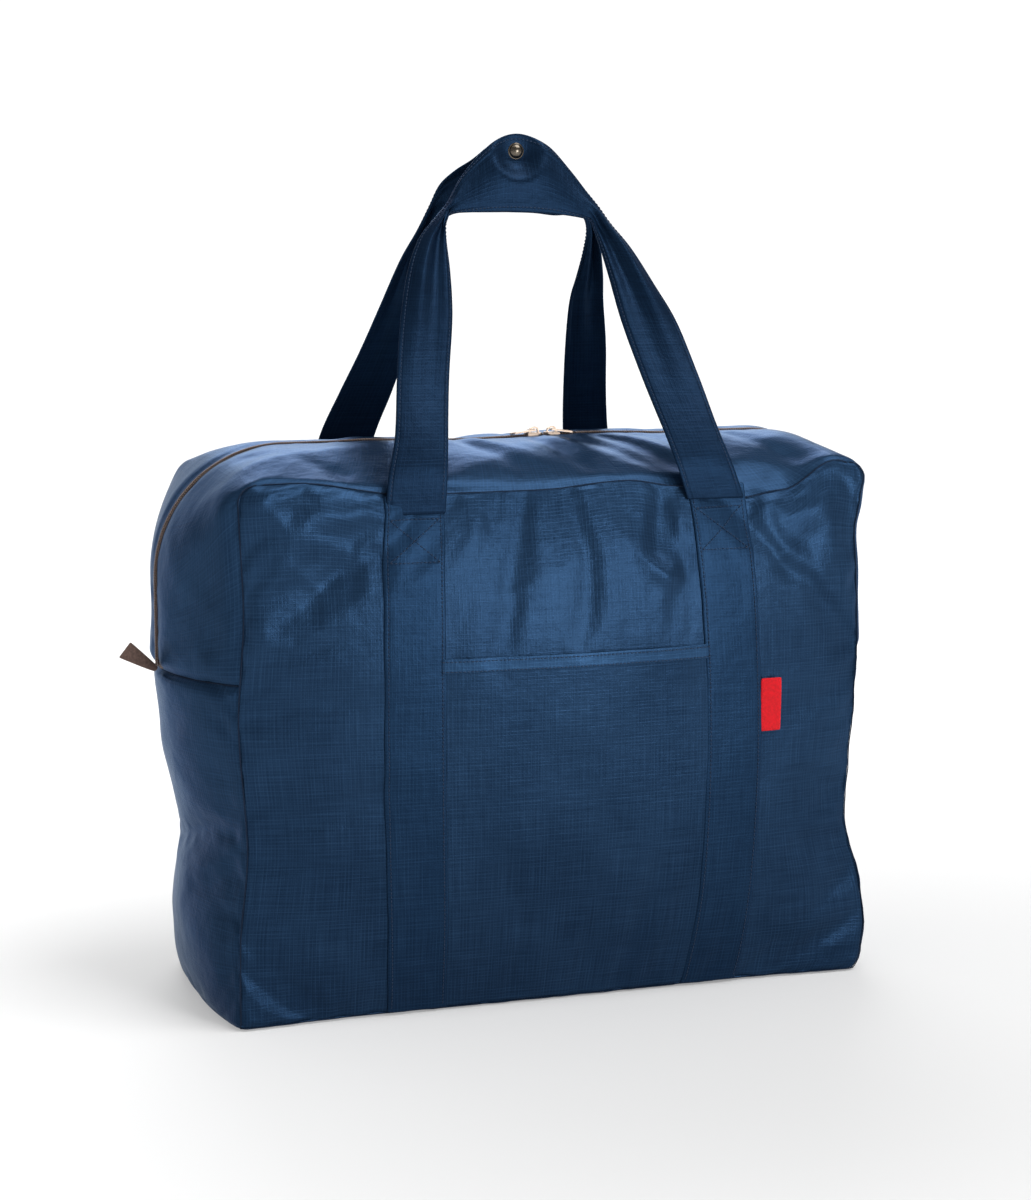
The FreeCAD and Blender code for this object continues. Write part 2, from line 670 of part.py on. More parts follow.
# --- the set --------------------------------------------------------------------------------------------
def build():
    nodes = {}
    front = panel()
    nodes["front_panel"] = front
    nodes["back_panel"] = mirror_y(front)
    nodes["base_panel"] = base_panel()
    nodes["side_panel_right"] = side_panel(RIGHT_BULGE)
    nodes["side_panel_left"] = mirror_x(side_panel(LEFT_BULGE))

    flap = (-FLAP_HALF, FLAP_HALF)
    lip = inner_half_depth() - FREE_GAP + SEAM_GAP
    coil_runs = [
        (-FLAP_HALF, SLIDERS_X - SLIDER_NOSE - 2 * POST_INSET),
        (SLIDERS_X + SLIDER_NOSE + 2 * POST_INSET, FLAP_HALF),
    ]
    coil_tops = [top_strip(COIL_DEPTH, COIL_REACH, run) for run in coil_runs]
    corner_sizes = {
        "gusset": ((0, CLOTH), (GUSSET_EDGE, inner_half_depth()), 0.0),
        "zip_tape": (TAPE_DEPTH, TAPE_REACH, 0.0),
        "zip_coil": (COIL_DEPTH, COIL_REACH, COIL_STOP),
    }
    tops = {
        "gusset": top_strip((0, CLOTH), (GUSSET_EDGE, lip), flap),
        "zip_tape": top_strip(TAPE_DEPTH, TAPE_REACH, flap),
        "zip_coil": Part.makeCompound(coil_tops),
    }
    for name, sizes in corner_sizes.items():
        right = corner_strip(RIGHT_BULGE, RIGHT_CORNER_R, *sizes)
        left = mirror_x(corner_strip(LEFT_BULGE, LEFT_CORNER_R, *sizes))
        nodes[f"{name}_front_right"] = right
        nodes[f"{name}_front_left"] = left
        nodes[f"{name}_back_right"] = mirror_y(right)
        nodes[f"{name}_back_left"] = mirror_y(left)
        nodes[f"{name}_front_top"] = tops[name]
        nodes[f"{name}_back_top"] = mirror_y(tops[name])

    for side, name in ((-1, "left"), (1, "right")):
        nodes[f"zip_slider_{name}"] = beside_meeting(slider(), side)
        nodes[f"zip_pull_{name}"] = beside_meeting(pull(), side)

    nodes["zip_end_tab_left"] = mirror_x(standing_tab())
    nodes["zip_end_tab_right"] = hanging_tab()
    for name, front_strap, back_strap in zip(("left", "right"), FRONT_STRAPS, BACK_STRAPS):
        nodes[f"strap_front_{name}"] = strap_band(front_strap)
        nodes[f"strap_back_{name}"] = mirror_y(strap_band(back_strap))
    nodes["handle_front"] = handle(FRONT_OUTER, FRONT_INNER)
    nodes["handle_back"] = mirror_y(handle(BACK_OUTER, BACK_INNER))
    nodes["snap_cap"] = snap_cap()
    nodes["snap_socket"] = snap_socket()
    nodes["snap_stud"] = snap_stud()
    nodes["snap_post"] = snap_post()

    nodes["front_pocket"] = pocket_layer((CLOTH, POCKET_TOP), 0, CLOTH)
    hem_span = (POCKET_TOP - POCKET_HEM, POCKET_TOP)
    nodes["front_pocket_hem"] = pocket_layer(hem_span, CLOTH + SEAM_GAP, CLOTH)
    nodes["side_label"] = label()
    nodes["seam_binding_front"] = seam_binding()
    nodes["seam_binding_back"] = mirror_y(seam_binding())
    nodes["pouch_panel"] = pouch_panel()
    pouch_names = ("pouch_zip_tape", "pouch_zip_coil", "pouch_zip_slider", "pouch_zip_pull")
    nodes.update(zip(pouch_names, pouch_zip()))
    return nodes


os.makedirs("parts", exist_ok=True)
for node_name, node_shape in build().items():
    node_shape.exportStep(f"parts/{node_name}.step")
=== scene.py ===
import math

import bpy
import numpy as np
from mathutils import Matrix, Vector
from mathutils.bvhtree import BVHTree


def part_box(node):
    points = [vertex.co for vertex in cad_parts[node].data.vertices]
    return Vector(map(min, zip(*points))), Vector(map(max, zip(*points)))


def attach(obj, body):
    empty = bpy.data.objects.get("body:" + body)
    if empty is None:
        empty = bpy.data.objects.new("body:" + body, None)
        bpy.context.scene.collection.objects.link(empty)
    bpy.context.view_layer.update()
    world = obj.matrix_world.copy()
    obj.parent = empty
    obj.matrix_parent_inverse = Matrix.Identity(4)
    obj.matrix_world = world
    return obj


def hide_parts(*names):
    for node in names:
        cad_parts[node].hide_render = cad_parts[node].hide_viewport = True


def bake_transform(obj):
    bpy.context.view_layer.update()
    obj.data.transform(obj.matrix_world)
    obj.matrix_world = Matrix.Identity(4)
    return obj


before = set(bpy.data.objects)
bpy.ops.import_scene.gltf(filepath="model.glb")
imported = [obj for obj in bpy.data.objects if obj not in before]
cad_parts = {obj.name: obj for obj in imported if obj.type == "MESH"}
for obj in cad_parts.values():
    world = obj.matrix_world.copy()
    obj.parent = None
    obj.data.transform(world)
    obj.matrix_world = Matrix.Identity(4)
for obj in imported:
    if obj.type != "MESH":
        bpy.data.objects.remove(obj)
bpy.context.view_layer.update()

# A filled travel tote in thin ripstop cloth. Lengths are in millimetres and become metres in the meshes.
# X runs along the bag, -Y is the front and +Z is up. A side is FRONT or BACK, and an end is LEFT or RIGHT.
MM = 0.001
FRONT, BACK = -1, 1
LEFT, RIGHT = -1, 1
SIDES = (("front", FRONT), ("back", BACK))


def cad_box(node):
    low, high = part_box(node)
    return np.array(low) / MM, np.array(high) / MM


# --- sizes from the frame ---
CLOTH = 1.2
PANEL_HIGH = cad_box("front_panel")[1]
HALF_W = PANEL_HIGH[0]
HALF_D = CLOTH - PANEL_HIGH[1]
SEAM_TOP = PANEL_HIGH[2]
RIDGE_TOP = cad_box("gusset_front_top")[1][2]
SIDE_SEAM = cad_box("gusset_front_left")[0][2]
LEFT_RIDGE, RIGHT_RIDGE = -cad_box("side_panel_left")[0][0], cad_box("side_panel_right")[1][0]
BASE_END = cad_box("base_panel")[1][0] - HALF_W
STRAP_TOP = cad_box("strap_front_left")[1][2]
POCKET_TOP = cad_box("front_pocket")[1][2]
POCKET_HEM_LOW = cad_box("front_pocket_hem")[0][2]

# --- sizes of the sewn cloth ---
GRID = 5.5                  # spacing of the cloth meshes before they are subdivided
RIPSTOP_PITCH = 2.6         # between the thicker threads
PAINTED_SHADE_TOP = 0.28            # in metres: painted shade, the cloth's colour darkens from here down to the floor
SEAM_CORNER_R = 15.0
LEFT_CORNER_R, RIGHT_CORNER_R = 95.0, 75.0       # of the zip line where it turns over the top corners
ZIP_GAP = 5.0               # from the zip's middle to the gusset's folded edge
PANEL_FULL = 18.0           # how far the filled panels stand out in the middle
TUCK, ROLL = 2.6, 3.6       # depth of a seam and the reach of the roll into it
FAR = 1e3                   # a distance from a seam that leaves the cloth as it is
STRAP_HALF = 22.5           # half a strap's width
FRONT_STRAPS = ((-111.0, -6.0), (117.0, 11.0))      # each strap's middle line at its ends, and its bow
BACK_STRAPS = ((-111.0, -6.0), (96.0, 6.0))
HANDLE_PIVOT = (98.6, 380.0)    # out from the middle plane, and up
OPEN_END, OPEN_FULL = 168.0, 80.0       # where the opened zip's lips part, and where they are lifted fully


# --- numbers and curves ---
def smooth_step(value, low, high):
    share = np.clip((value - low) / (high - low), 0, 1)
    return share * share * (3 - 2 * share)


def bump(value, middle, reach):
    return np.exp(-(((value - middle) / reach) ** 2))


def smooth_line(points):
    """A function through a few (place, value) points."""
    place, height = (np.array(column, float) for column in zip(*points))

    def line(value):
        value = np.clip(np.asarray(value, float), place[0], place[-1])
        i = np.clip(np.searchsorted(place, value, side="right") - 1, 0, len(place) - 2)
        return height[i] + (height[i + 1] - height[i]) * smooth_step(value, place[i], place[i + 1])

    return line


def curve_through(points, count):
    """count samples, evenly spread, of a smooth curve through points of any dimension."""
    p = np.array(points, float)
    p = np.concatenate([[2 * p[0] - p[1]], p, [2 * p[-1] - p[-2]]])
    samples = []
    for a, b, c, d in zip(p, p[1:], p[2:], p[3:]):
        for t in np.arange(0, 1, 0.05):
            samples.append(0.5 * (2 * b + (c - a) * t + (2 * a - 5 * b + 4 * c - d) * t**2
                                  + (3 * b - a - 3 * c + d) * t**3))
    samples.append(p[-2])
    return evenly(np.array(samples), count)


def lengths(path):
    steps = np.linalg.norm(np.diff(path, axis=0), axis=1)
    return np.concatenate([[0], np.cumsum(steps)])


def evenly(path, count):
    along = lengths(path)
    at = np.linspace(0, along[-1], count)
    return np.stack([np.interp(at, along, path[:, k]) for k in range(path.shape[1])], axis=1)


def places(length, step=GRID, fine=(0.0, 1.0, 2.2, 4.0, 6.5)):
    """Places from 0 to length, close together at both ends, where cloth rolls into its seams."""
    near = np.array(fine)
    margin = near[-1] + 3.0
    middle = np.linspace(margin, length - margin, max(2, round((length - 2 * margin) / step) + 1))
    return np.concatenate([near, middle, length - near[::-1]])


def xyz(x, y, z):
    """Points from their coordinates, each an array or a number."""
    return np.stack(np.broadcast_arrays(x, y, z), axis=-1)


def dome(share):
    """1 in the middle of a share from 0 to 1, and 0 at its ends."""
    return 1 - (2 * share - 1) ** 2


def crown(y):
    """1 in the bag's middle plane, and 0 at the front and back seams."""
    return 1 - (y / HALF_D) ** 2


def unit(vectors):
    return vectors / np.maximum(np.linalg.norm(vectors, axis=-1, keepdims=True), 1e-9)


def grid_normals(grid, sign=1):
    return sign * unit(np.cross(np.gradient(grid, axis=0), np.gradient(grid, axis=1)))


# --- meshes ---
def added(name, data):
    made = bpy.data.objects.new(name, data)
    bpy.context.scene.collection.objects.link(made)
    return made


def mesh_piece(name, points, faces, uv=None):
    """An object from points in millimetres. uv is a flat place in millimetres for each point."""
    mesh = bpy.data.meshes.new(name)
    mesh.from_pydata((np.asarray(points, float).reshape(-1, 3) * MM).tolist(), [], faces)
    mesh.polygons.foreach_set("use_smooth", [True] * len(mesh.polygons))
    if uv is not None:
        corners = np.zeros(len(mesh.loops), np.int32)
        mesh.loops.foreach_get("vertex_index", corners)
        flat = np.asarray(uv, float).reshape(-1, 2)[corners] * MM
        mesh.uv_layers.new(name="cloth").data.foreach_set("uv", flat.ravel())
    mesh.update()
    return added(name, mesh)


def grid_faces(rows, columns, start=0, flip=False):
    firsts = [start + i * columns + j for i in range(rows - 1) for j in range(columns - 1)]
    faces = [(a, a + columns, a + columns + 1, a + 1) for a in firsts]
    return [face[::-1] for face in faces] if flip else faces


def turns(sides):
    return [2 * math.pi * k / sides for k in range(sides)]


def ring_faces(start, rings, sides):
    """Faces between rings of points that follow one another."""
    faces = []
    for a in range(start, start + (rings - 1) * sides):
        b = a + 1 if (a - start + 1) % sides else a + 1 - sides
        faces.append((a, a + sides, b + sides, b))
    return faces


def border(rows, columns):
    """Indices round a grid's edge, in order."""
    index = np.arange(rows * columns).reshape(rows, columns)
    return np.concatenate([index[:, 0], index[-1, 1:], index[-2::-1, -1], index[0, -2:0:-1]]).tolist()


def points_of(mesh):
    """A mesh's points in millimetres."""
    points = np.zeros(len(mesh.vertices) * 3, np.float32)
    mesh.vertices.foreach_get("co", points)
    return points.reshape(-1, 3).astype(float) / MM


def flat_places(grid):
    """Where each point of a grid lies on the flat cloth, along its rows and columns."""
    along = np.linalg.norm(np.diff(grid, axis=0), axis=2).mean(axis=1)
    across = np.linalg.norm(np.diff(grid, axis=1), axis=2).mean(axis=0)
    u = np.concatenate([[0], np.cumsum(along)])
    v = np.concatenate([[0], np.cumsum(across)])
    return np.stack(np.meshgrid(u, v, indexing="ij"), axis=-1)


def cloth_piece(name, grid, sign=1, thickness=CLOTH):
    """A closed sheet: the grid is its outer face, and sign turns the grid's normal outwards."""
    rows, columns = grid.shape[:2]
    inner = grid - grid_normals(grid, sign) * thickness
    count = rows * columns
    faces = grid_faces(rows, columns, flip=sign < 0) + grid_faces(rows, columns, count, flip=sign > 0)
    ring = border(rows, columns)
    for a, b in zip(ring, ring[1:] + ring[:1]):
        side = (a, a + count, b + count, b)
        faces.append(side[::-1] if sign < 0 else side)
    flat = flat_places(grid)
    piece = mesh_piece(name, np.concatenate([grid, inner]), faces, np.concatenate([flat, flat]))
    subdivision = piece.modifiers.new("Subdivision", "SUBSURF")
    subdivision.levels = subdivision.render_levels = 1
    return piece


def add_tube(points, faces, path, radius, sides, up):
    """Adds a capped tube along path to the lists of points and faces."""
    path = np.array(path, float)
    along = unit(np.gradient(path, axis=0))
    side = unit(np.cross(along, np.array(up, float) + 1e-4))
    lift = np.cross(side, along)
    start = len(points)
    for place, right, above in zip(path, side, lift):
        points += [place + radius * (right * math.cos(turn) + above * math.sin(turn))
                   for turn in turns(sides)]
    faces += ring_faces(start, len(path), sides)
    last = start + (len(path) - 1) * sides
    faces.append(tuple(range(start, start + sides)))
    faces.append(tuple(range(last + sides - 1, last - 1, -1)))


STITCH, STITCH_GAP, THREAD_R = 2.1, 0.9, 0.36


def stitch_piece(name, runs):
    """Sewing thread along runs, each a pair of paths: points on the cloth and its normals there."""
    points, faces = [], []
    for path, normals in runs:
        path, normals = np.array(path, float), np.array(normals, float)
        total = lengths(path)[-1]
        count = max(1, int(total / (STITCH + STITCH_GAP)))
        along = lengths(path)
        for k in range(count):
            at = (k + 0.5) * total / count + np.array([-0.5, -0.25, 0.0, 0.25, 0.5]) * STITCH
            line = np.stack([np.interp(at, along, path[:, i]) for i in range(3)], axis=1)
            out = np.stack([np.interp(at, along, normals[:, i]) for i in range(3)], axis=1)
            rise = np.array([-0.6, 0.5, 0.8, 0.5, -0.6])[:, None] * THREAD_R
            add_tube(points, faces, line + out * rise, THREAD_R, 5, out[2])
    return mesh_piece(name, points, faces)


# --- the filled bag's shape ---
# How far the top seams hang below their level under the pull of the straps, along the bag.
FRONT_DIP = smooth_line([(-240, 0), (-200, -1), (-111, 11), (-20, 11), (50, 6), (92, 12), (140, 23),
                         (172, 18), (212, -4), (240, 0)])
BACK_DIP = smooth_line([(-240, 0), (-195, 1), (-111, 16), (-40, 7), (40, 9), (96, 18), (160, 4), (240, 0)])
# How far the upright seams sway along the bag, up their height.
RIGHT_SWAY = smooth_line([(0, -5), (14, 1.5), (40, 5.5), (62, 4), (124, -10), (167, -7.5), (205, -4),
                          (260, -2), (300, -3.5), (340, -6), (362, -2), (390, 3)])
LEFT_SWAY = smooth_line([(0, -2), (60, -3), (130, 3), (220, -2), (300, 3), (390, 0)])
# How far the side panels and the zip stand out or in, up their height.
LEFT_FULL = smooth_line([(0, 0), (50, 3.5), (125, -7), (200, -2), (250, 0), (408, 0)])
RIGHT_FULL = smooth_line([(0, 0), (50, -3), (125, -11), (200, -8), (250, -6), (340, -6), (385, -3),
                          (408, 0)])


def settle_shape(points):
    """The gentle unevenness of the filled bag, for any points on it."""
    x, y, z = (points[..., k] for k in range(3))
    depth = np.abs(y) / HALF_D
    seam = depth**3 * smooth_step(z, 290, 382)
    dip = np.where(y < 0, FRONT_DIP(x), BACK_DIP(x)) * seam
    end = smooth_step(np.abs(x), 120, HALF_W)
    sway = np.where(x > 0, RIGHT_SWAY(z), LEFT_SWAY(z)) * end * np.where(y < 0, depth, 0.6 * depth)
    full = np.where(x > 0, RIGHT_FULL(z), -LEFT_FULL(z)) * smooth_step(np.abs(x), HALF_W, HALF_W + 10)
    ripple = 1.2 * np.sin(x / 31.0) * (1 - depth) * smooth_step(z, 395, 405)
    ripple = ripple * (1 - smooth_step(np.abs(x), 110, 150))
    foot = smooth_step(np.abs(x), 150, HALF_W) * (1 - smooth_step(z, 0, 90)) * np.minimum(depth, 1)
    return points + xyz(sway + full + 2.5 * np.sign(x) * foot, 4.5 * np.sign(y) * foot, ripple - dip)


def tuck(grid, distance, direction):
    """Rolls the cloth into a seam: every point moves along direction, most where distance is nothing."""
    depth = np.exp(-((np.asarray(distance) / ROLL) ** 2))[..., None] * TUCK
    return grid + depth * unit(np.array(direction, float))


def fold(grid, normals, start, end, width, height):
    """Raises a crease from one point to another, or sinks it if height is negative."""
    start, end = np.array(start, float), np.array(end, float)
    run = end - start
    share = ((grid - start) @ run) / (run @ run)
    away = np.linalg.norm(grid - start - np.clip(share, 0, 1)[..., None] * run, axis=-1)
    taper = np.sin(math.pi * np.clip(share, 0.001, 0.999)) ** 0.6
    return grid + normals * (height * taper * np.exp(-((away / width) ** 1.6)))[..., None]


def puckers(grid, normals, distance, along, height, reach, seed):
    """Small ripples square to a seam, where sewing has gathered the cloth."""
    rng = np.random.default_rng(seed)
    ripple = np.zeros(distance.shape)
    for length in (11.0, 17.0, 26.0, 41.0):
        ripple += np.sin(2 * math.pi * along / length + rng.uniform(0, 2 * math.pi)) * rng.uniform(0.5, 1.0)
    return grid + normals * (height * 0.5 * ripple * np.exp(-distance / reach))[..., None]


def cell_noise(u, v, seed):
    """Smooth random heights from 0 to 1 between the corners of unit cells."""
    table = np.random.default_rng(seed).uniform(0, 1, (64, 64))
    i, j = np.floor(u).astype(int), np.floor(v).astype(int)
    a, b = smooth_step(u - i, 0, 1), smooth_step(v - j, 0, 1)
    corner = [[table[(i + di) % 64, (j + dj) % 64] for dj in (0, 1)] for di in (0, 1)]
    low = corner[0][0] + (corner[0][1] - corner[0][0]) * b
    high = corner[1][0] + (corner[1][1] - corner[1][0]) * b
    return low + (high - low) * a


# Size, depth and slant of each layer of crumples.
CRUMPLES = ((96, 3.4, 0.45), (58, 1.9, -0.6), (34, 0.8, 0.9), (18, 0.25, -0.3))


def crumpled(grid, normals, flat, amount, seed):
    """The facets and soft creases of thin cloth that has been packed small."""
    u, v = flat[..., 0], flat[..., 1]
    height = np.zeros(u.shape)
    for k, (size, depth, slant) in enumerate(CRUMPLES):
        across, up = (u + slant * v) / (1.3 * size), (v - slant * u) / (0.92 * size)
        field = cell_noise(across + 7, up + 11, 10 * seed + k)
        height += depth * ((1 - np.abs(2 * field - 1)) ** 1.6 - 0.4)
    return grid + normals * (height * amount)[..., None]


def upright_rows():
    """(height, half width) from the base to the top seam, round the top corner at the end."""
    shoulder, arch = SEAM_TOP - SEAM_CORNER_R, HALF_W - SEAM_CORNER_R
    rows = [(z, HALF_W) for z in places(shoulder)[:-4]] + [(shoulder, HALF_W)]
    for angle in np.linspace(0, math.pi / 2, 9)[1:]:
        rows.append((shoulder + SEAM_CORNER_R * math.sin(angle), arch + SEAM_CORNER_R * math.cos(angle)))
    return np.array(rows)


def panel_grid(side):
    share = places(2 * HALF_W)[:, None] / HALF_W - 1
    rows = upright_rows()
    z, half = rows[None, :, 0], rows[None, :, 1]
    level = z / SEAM_TOP
    full = PANEL_FULL * (1 - np.abs(share) ** 2.6) * (1 - np.abs(2 * level - 1) ** 2.6)
    x = share * half
    grid = xyz(x, side * (HALF_D + full * (1.1 - 0.25 * level)), z)
    turn = np.clip((z - SEAM_TOP + SEAM_CORNER_R) / SEAM_CORNER_R, 0, 1) * math.pi / 2
    grid = tuck(grid, (1 - np.abs(share)) * half, xyz(-np.sign(share) * np.cos(turn), -side, -np.sin(turn)))
    top_edge = np.where(np.abs(x) < HALF_W - SEAM_CORNER_R, SEAM_TOP - z, FAR)
    grid = tuck(grid, top_edge, (0, -side, -1))
    return settle_shape(tuck(grid, z, (0, -side, 1)))


def corner_stations(ridge_x, corner_r):
    """Seam and ridge points, x and z, and the outward angle, from the right side seam to the middle."""
    stations = []
    shoulder, arch = SEAM_TOP - SEAM_CORNER_R, HALF_W - SEAM_CORNER_R
    ridge_shoulder, ridge_arch = RIDGE_TOP - corner_r, ridge_x - corner_r
    for share in places(shoulder - SIDE_SEAM)[:-5] / (shoulder - SIDE_SEAM):
        ridge_z = SIDE_SEAM + share * (ridge_shoulder - SIDE_SEAM)
        stations.append((HALF_W, SIDE_SEAM + share * (shoulder - SIDE_SEAM), ridge_x, ridge_z, 0.0))
    for angle in np.linspace(0, math.pi / 2, 25):
        out, up = math.cos(angle), math.sin(angle)
        stations.append((arch + SEAM_CORNER_R * out, shoulder + SEAM_CORNER_R * up,
                         ridge_arch + corner_r * out, ridge_shoulder + corner_r * up, angle))
    for share in np.linspace(1, 0, 41)[1:]:
        stations.append((arch * share, SEAM_TOP, ridge_arch * share, RIDGE_TOP, math.pi / 2))
    return stations


def gusset_stations():
    """The same from the left side seam over the top to the right side seam."""
    left = corner_stations(LEFT_RIDGE, LEFT_CORNER_R)
    left = [(-seam_x, seam_z, -x, z, math.pi - angle) for seam_x, seam_z, x, z, angle in left]
    return np.array(left + corner_stations(RIGHT_RIDGE, RIGHT_CORNER_R)[-2::-1])


def gusset_point(station, y):
    """A point on the gusset, y from the bag's middle plane."""
    rise = crown(y)
    x = station[..., 0] + (station[..., 2] - station[..., 0]) * rise
    z = station[..., 1] + (station[..., 3] - station[..., 1]) * rise
    return xyz(x, y, z)


def gusset_grid(side):
    stations = gusset_stations()[:, None, :]
    from_seam = places(HALF_D - ZIP_GAP)[None, :]
    grid = gusset_point(stations, side * (HALF_D - from_seam))
    angle = stations[..., 4]
    grid = tuck(grid, from_seam, xyz(-np.cos(angle), -side, -np.sin(angle)))
    ends = np.where(np.abs(grid[..., 0]) > HALF_W - TUCK, grid[..., 2] - SIDE_SEAM, FAR)
    return settle_shape(tuck(grid, ends, xyz(-np.sign(grid[..., 0]), 0, 0)))


def side_grid(end):
    """The side panel under the zip's end."""
    y = places(2 * HALF_D)[:, None] - HALF_D
    z = places(SIDE_SEAM)[None, :]
    ridge = RIGHT_RIDGE if end == RIGHT else LEFT_RIDGE
    full = BASE_END + (ridge - HALF_W - BASE_END) * z / SIDE_SEAM
    grid = xyz(end * (HALF_W + full * crown(y)), y, z)
    grid = tuck(grid, HALF_D - np.abs(y), xyz(-end, -np.sign(y), 0))
    grid = tuck(grid, SIDE_SEAM - z, (-end, 0, 0))
    return settle_shape(tuck(grid, z, (-end, 0, 1)))


def base_grid():
    share = places(2 * HALF_W)[:, None] / HALF_W - 1
    y = places(2 * HALF_D)[None, :] - HALF_D
    half = HALF_W + BASE_END * crown(y)
    x = share * half
    grid = tuck(xyz(x, y, 0), HALF_D - np.abs(y), xyz(0, -np.sign(y), 1))
    return settle_shape(tuck(grid, half - np.abs(x), xyz(-np.sign(x), 0, 1)))


# --- creases ---
# Each fold is a start, an end, a width and a height, which is less than nothing where the cloth sinks.
FRONT_FOLDS = [
    ((94, -100, 374), (80, -112, 306), 6, 7.0), ((80, -112, 306), (50, -108, 338), 6, 5.0),
    ((76, -100, 372), (66, -110, 326), 5, -5.5), ((50, -108, 338), (28, -104, 366), 7, 4.0),
    ((58, -104, 372), (44, -108, 350), 5, -2.5), ((88, -106, 345), (92, -110, 312), 5, -3.0),
    ((-78, -100, 376), (-52, -110, 330), 9, 3.5), ((-84, -102, 366), (-74, -110, 322), 6, -2.5),
    ((-235, -97, 380), (-160, -108, 326), 9, 2.5),
    ((-228, -97, 374), (-120, -102, 364), 11, 3.5), ((-228, -97, 338), (-130, -106, 326), 24, -4.0),
    ((225, -97, 372), (160, -104, 330), 12, 3.0), ((232, -97, 345), (205, -102, 250), 9, 2.5),
    ((-232, -97, 300), (-190, -108, 210), 14, 2.5), ((-232, -97, 60), (-170, -110, 110), 14, 1.5),
    ((236, -97, 100), (205, -106, 150), 14, 1.8), ((70, -112, 15), (85, -116, 110), 8, 2.2),
    ((40, -112, 10), (66, -116, 90), 8, -1.8), ((10, -112, 8), (38, -116, 70), 9, 1.6),
    ((-30, -104, 368), (40, -106, 340), 12, 1.8), ((228, -97, 140), (190, -104, 200), 12, 2.0),
]
BACK_FOLDS = [
    ((-78, 100, 372), (-70, 112, 318), 8, 3.5), ((60, 100, 372), (52, 112, 322), 8, 3.0),
    ((-230, 97, 375), (-150, 106, 320), 12, 3.0), ((228, 97, 372), (140, 106, 330), 12, 3.0),
    ((-232, 97, 40), (-130, 112, 120), 13, 3.0), ((232, 97, 40), (150, 112, 110), 13, 2.5),
    ((0, 104, 370), (30, 110, 300), 12, 2.0), ((-30, 112, 20), (20, 116, 120), 14, 2.0),
]
TOP_FOLDS = [
    ((-222, -24, 402), (-150, -84, 388), 6, -4.5), ((-60, -8, 408), (-22, -80, 388), 5, -5.0),
    ((-50, -8, 408), (-6, -70, 392), 6, 4.0), ((-2, -16, 408), (30, -84, 386), 5, -4.5),
    ((12, -14, 408), (48, -70, 392), 6, 3.5), ((30, -10, 408), (76, -84, 386), 5, -5.0),
    ((58, -8, 408), (98, -80, 387), 6, -5.5), ((66, -8, 408), (112, -74, 390), 6, 4.0),
    ((150, -14, 407), (200, -84, 388), 6, -4.0), ((-244, -60, 352), (-262, -18, 330), 9, 3.0),
    ((-243, -75, 318), (-268, -25, 290), 9, -2.5), ((-236, -88, 380), (-250, -40, 366), 8, 3.0),
]


def turned_folds(folds, along, across, up=0):
    """Folds for the opposite side of the bag, from those of one side."""
    return [((along * x0, across * y0, z0 + up), (along * x1, across * y1, z1 + up), width, height)
            for (x0, y0, z0), (x1, y1, z1), width, height in folds]


TOP_BACK_FOLDS = turned_folds(TOP_FOLDS, -0.9, -1)
LEFT_FOLDS = [
    ((-245, -80, 150), (-262, 20, 118), 10, -4.0), ((-246, -82, 120), (-264, 10, 90), 12, 3.5),
    ((-244, -85, 215), (-268, -10, 190), 12, 2.5), ((-244, 80, 160), (-262, 0, 200), 12, 2.5),
    ((-243, -84, 40), (-258, -20, 70), 10, 2.5), ((-243, 84, 30), (-258, 10, 60), 10, -2.5),
]
RIGHT_FOLDS = turned_folds(LEFT_FOLDS, -1, 0.9, 8)


# --- cloth simulation ---
def blurred(field, times):
    for _ in range(times):
        for axis in (0, 1):
            padded = np.concatenate([field.take([0], axis), field, field.take([-1], axis)], axis)
            count = field.shape[axis]
            field = (padded.take(range(count), axis) + 2 * padded.take(range(1, count + 1), axis)
                     + padded.take(range(2, count + 2), axis)) / 4
    return field


CLOTH_SETTINGS = {
    "quality": 7, "mass": 0.12, "tension_stiffness": 25, "compression_stiffness": 25, "shear_stiffness": 12,
    "bending_stiffness": 0.02, "vertex_group_mass": "seams", "use_pressure": True,
    "uniform_pressure_force": 1.6, "shrink_min": -0.013,
}
SIM_FRAMES = 22
BROAD_SHARE, SMALL_LIMIT = 0.25, 5.0    # how much of the wide bulge is kept, and the deepest wrinkle


def simulate(grids):
    """Blows the sewn panels out: each is pinned at its seams and cut a little larger than its frame."""
    pieces = {}
    for name, (grid, sign) in grids.items():
        rows, columns = grid.shape[:2]
        piece = mesh_piece(f"sim_{name}", grid, grid_faces(rows, columns, flip=sign < 0))
        pins = piece.vertex_groups.new(name="seams")
        pins.add(border(rows, columns), 1.0, "REPLACE")
        settings = piece.modifiers.new("Cloth", "CLOTH").settings
        for key, value in CLOTH_SETTINGS.items():
            setattr(settings, key, value)
        settings.effector_weights.gravity = 0
        pieces[name] = piece
    scene = bpy.context.scene
    for frame_number in range(1, SIM_FRAMES + 1):
        scene.frame_set(frame_number)
    graph = bpy.context.evaluated_depsgraph_get()
    settled = {}
    for name, piece in pieces.items():
        grid, sign = grids[name]
        blown = piece.evaluated_get(graph)
        moved = points_of(blown.to_mesh()).reshape(grid.shape) - grid
        blown.to_mesh_clear()
        broad = blurred(moved, 60)
        small = moved - broad
        reach = np.maximum(np.linalg.norm(small, axis=-1, keepdims=True), 1e-6)
        settled[name] = grid + BROAD_SHARE * broad + small * np.minimum(1, SMALL_LIMIT / reach)
    for piece in pieces.values():
        mesh = piece.data
        bpy.data.objects.remove(piece)
        bpy.data.meshes.remove(mesh)
    scene.frame_set(1)
    return settled


# --- materials ---
def node(tree, kind, inputs=None, **settings):
    made = tree.nodes.new("ShaderNode" + kind)
    for key, value in settings.items():
        setattr(made, key, value)
    for key, value in (inputs or {}).items():
        if isinstance(value, bpy.types.NodeSocket):
            tree.links.new(value, made.inputs[key])
        else:
            made.inputs[key].default_value = value
    return made


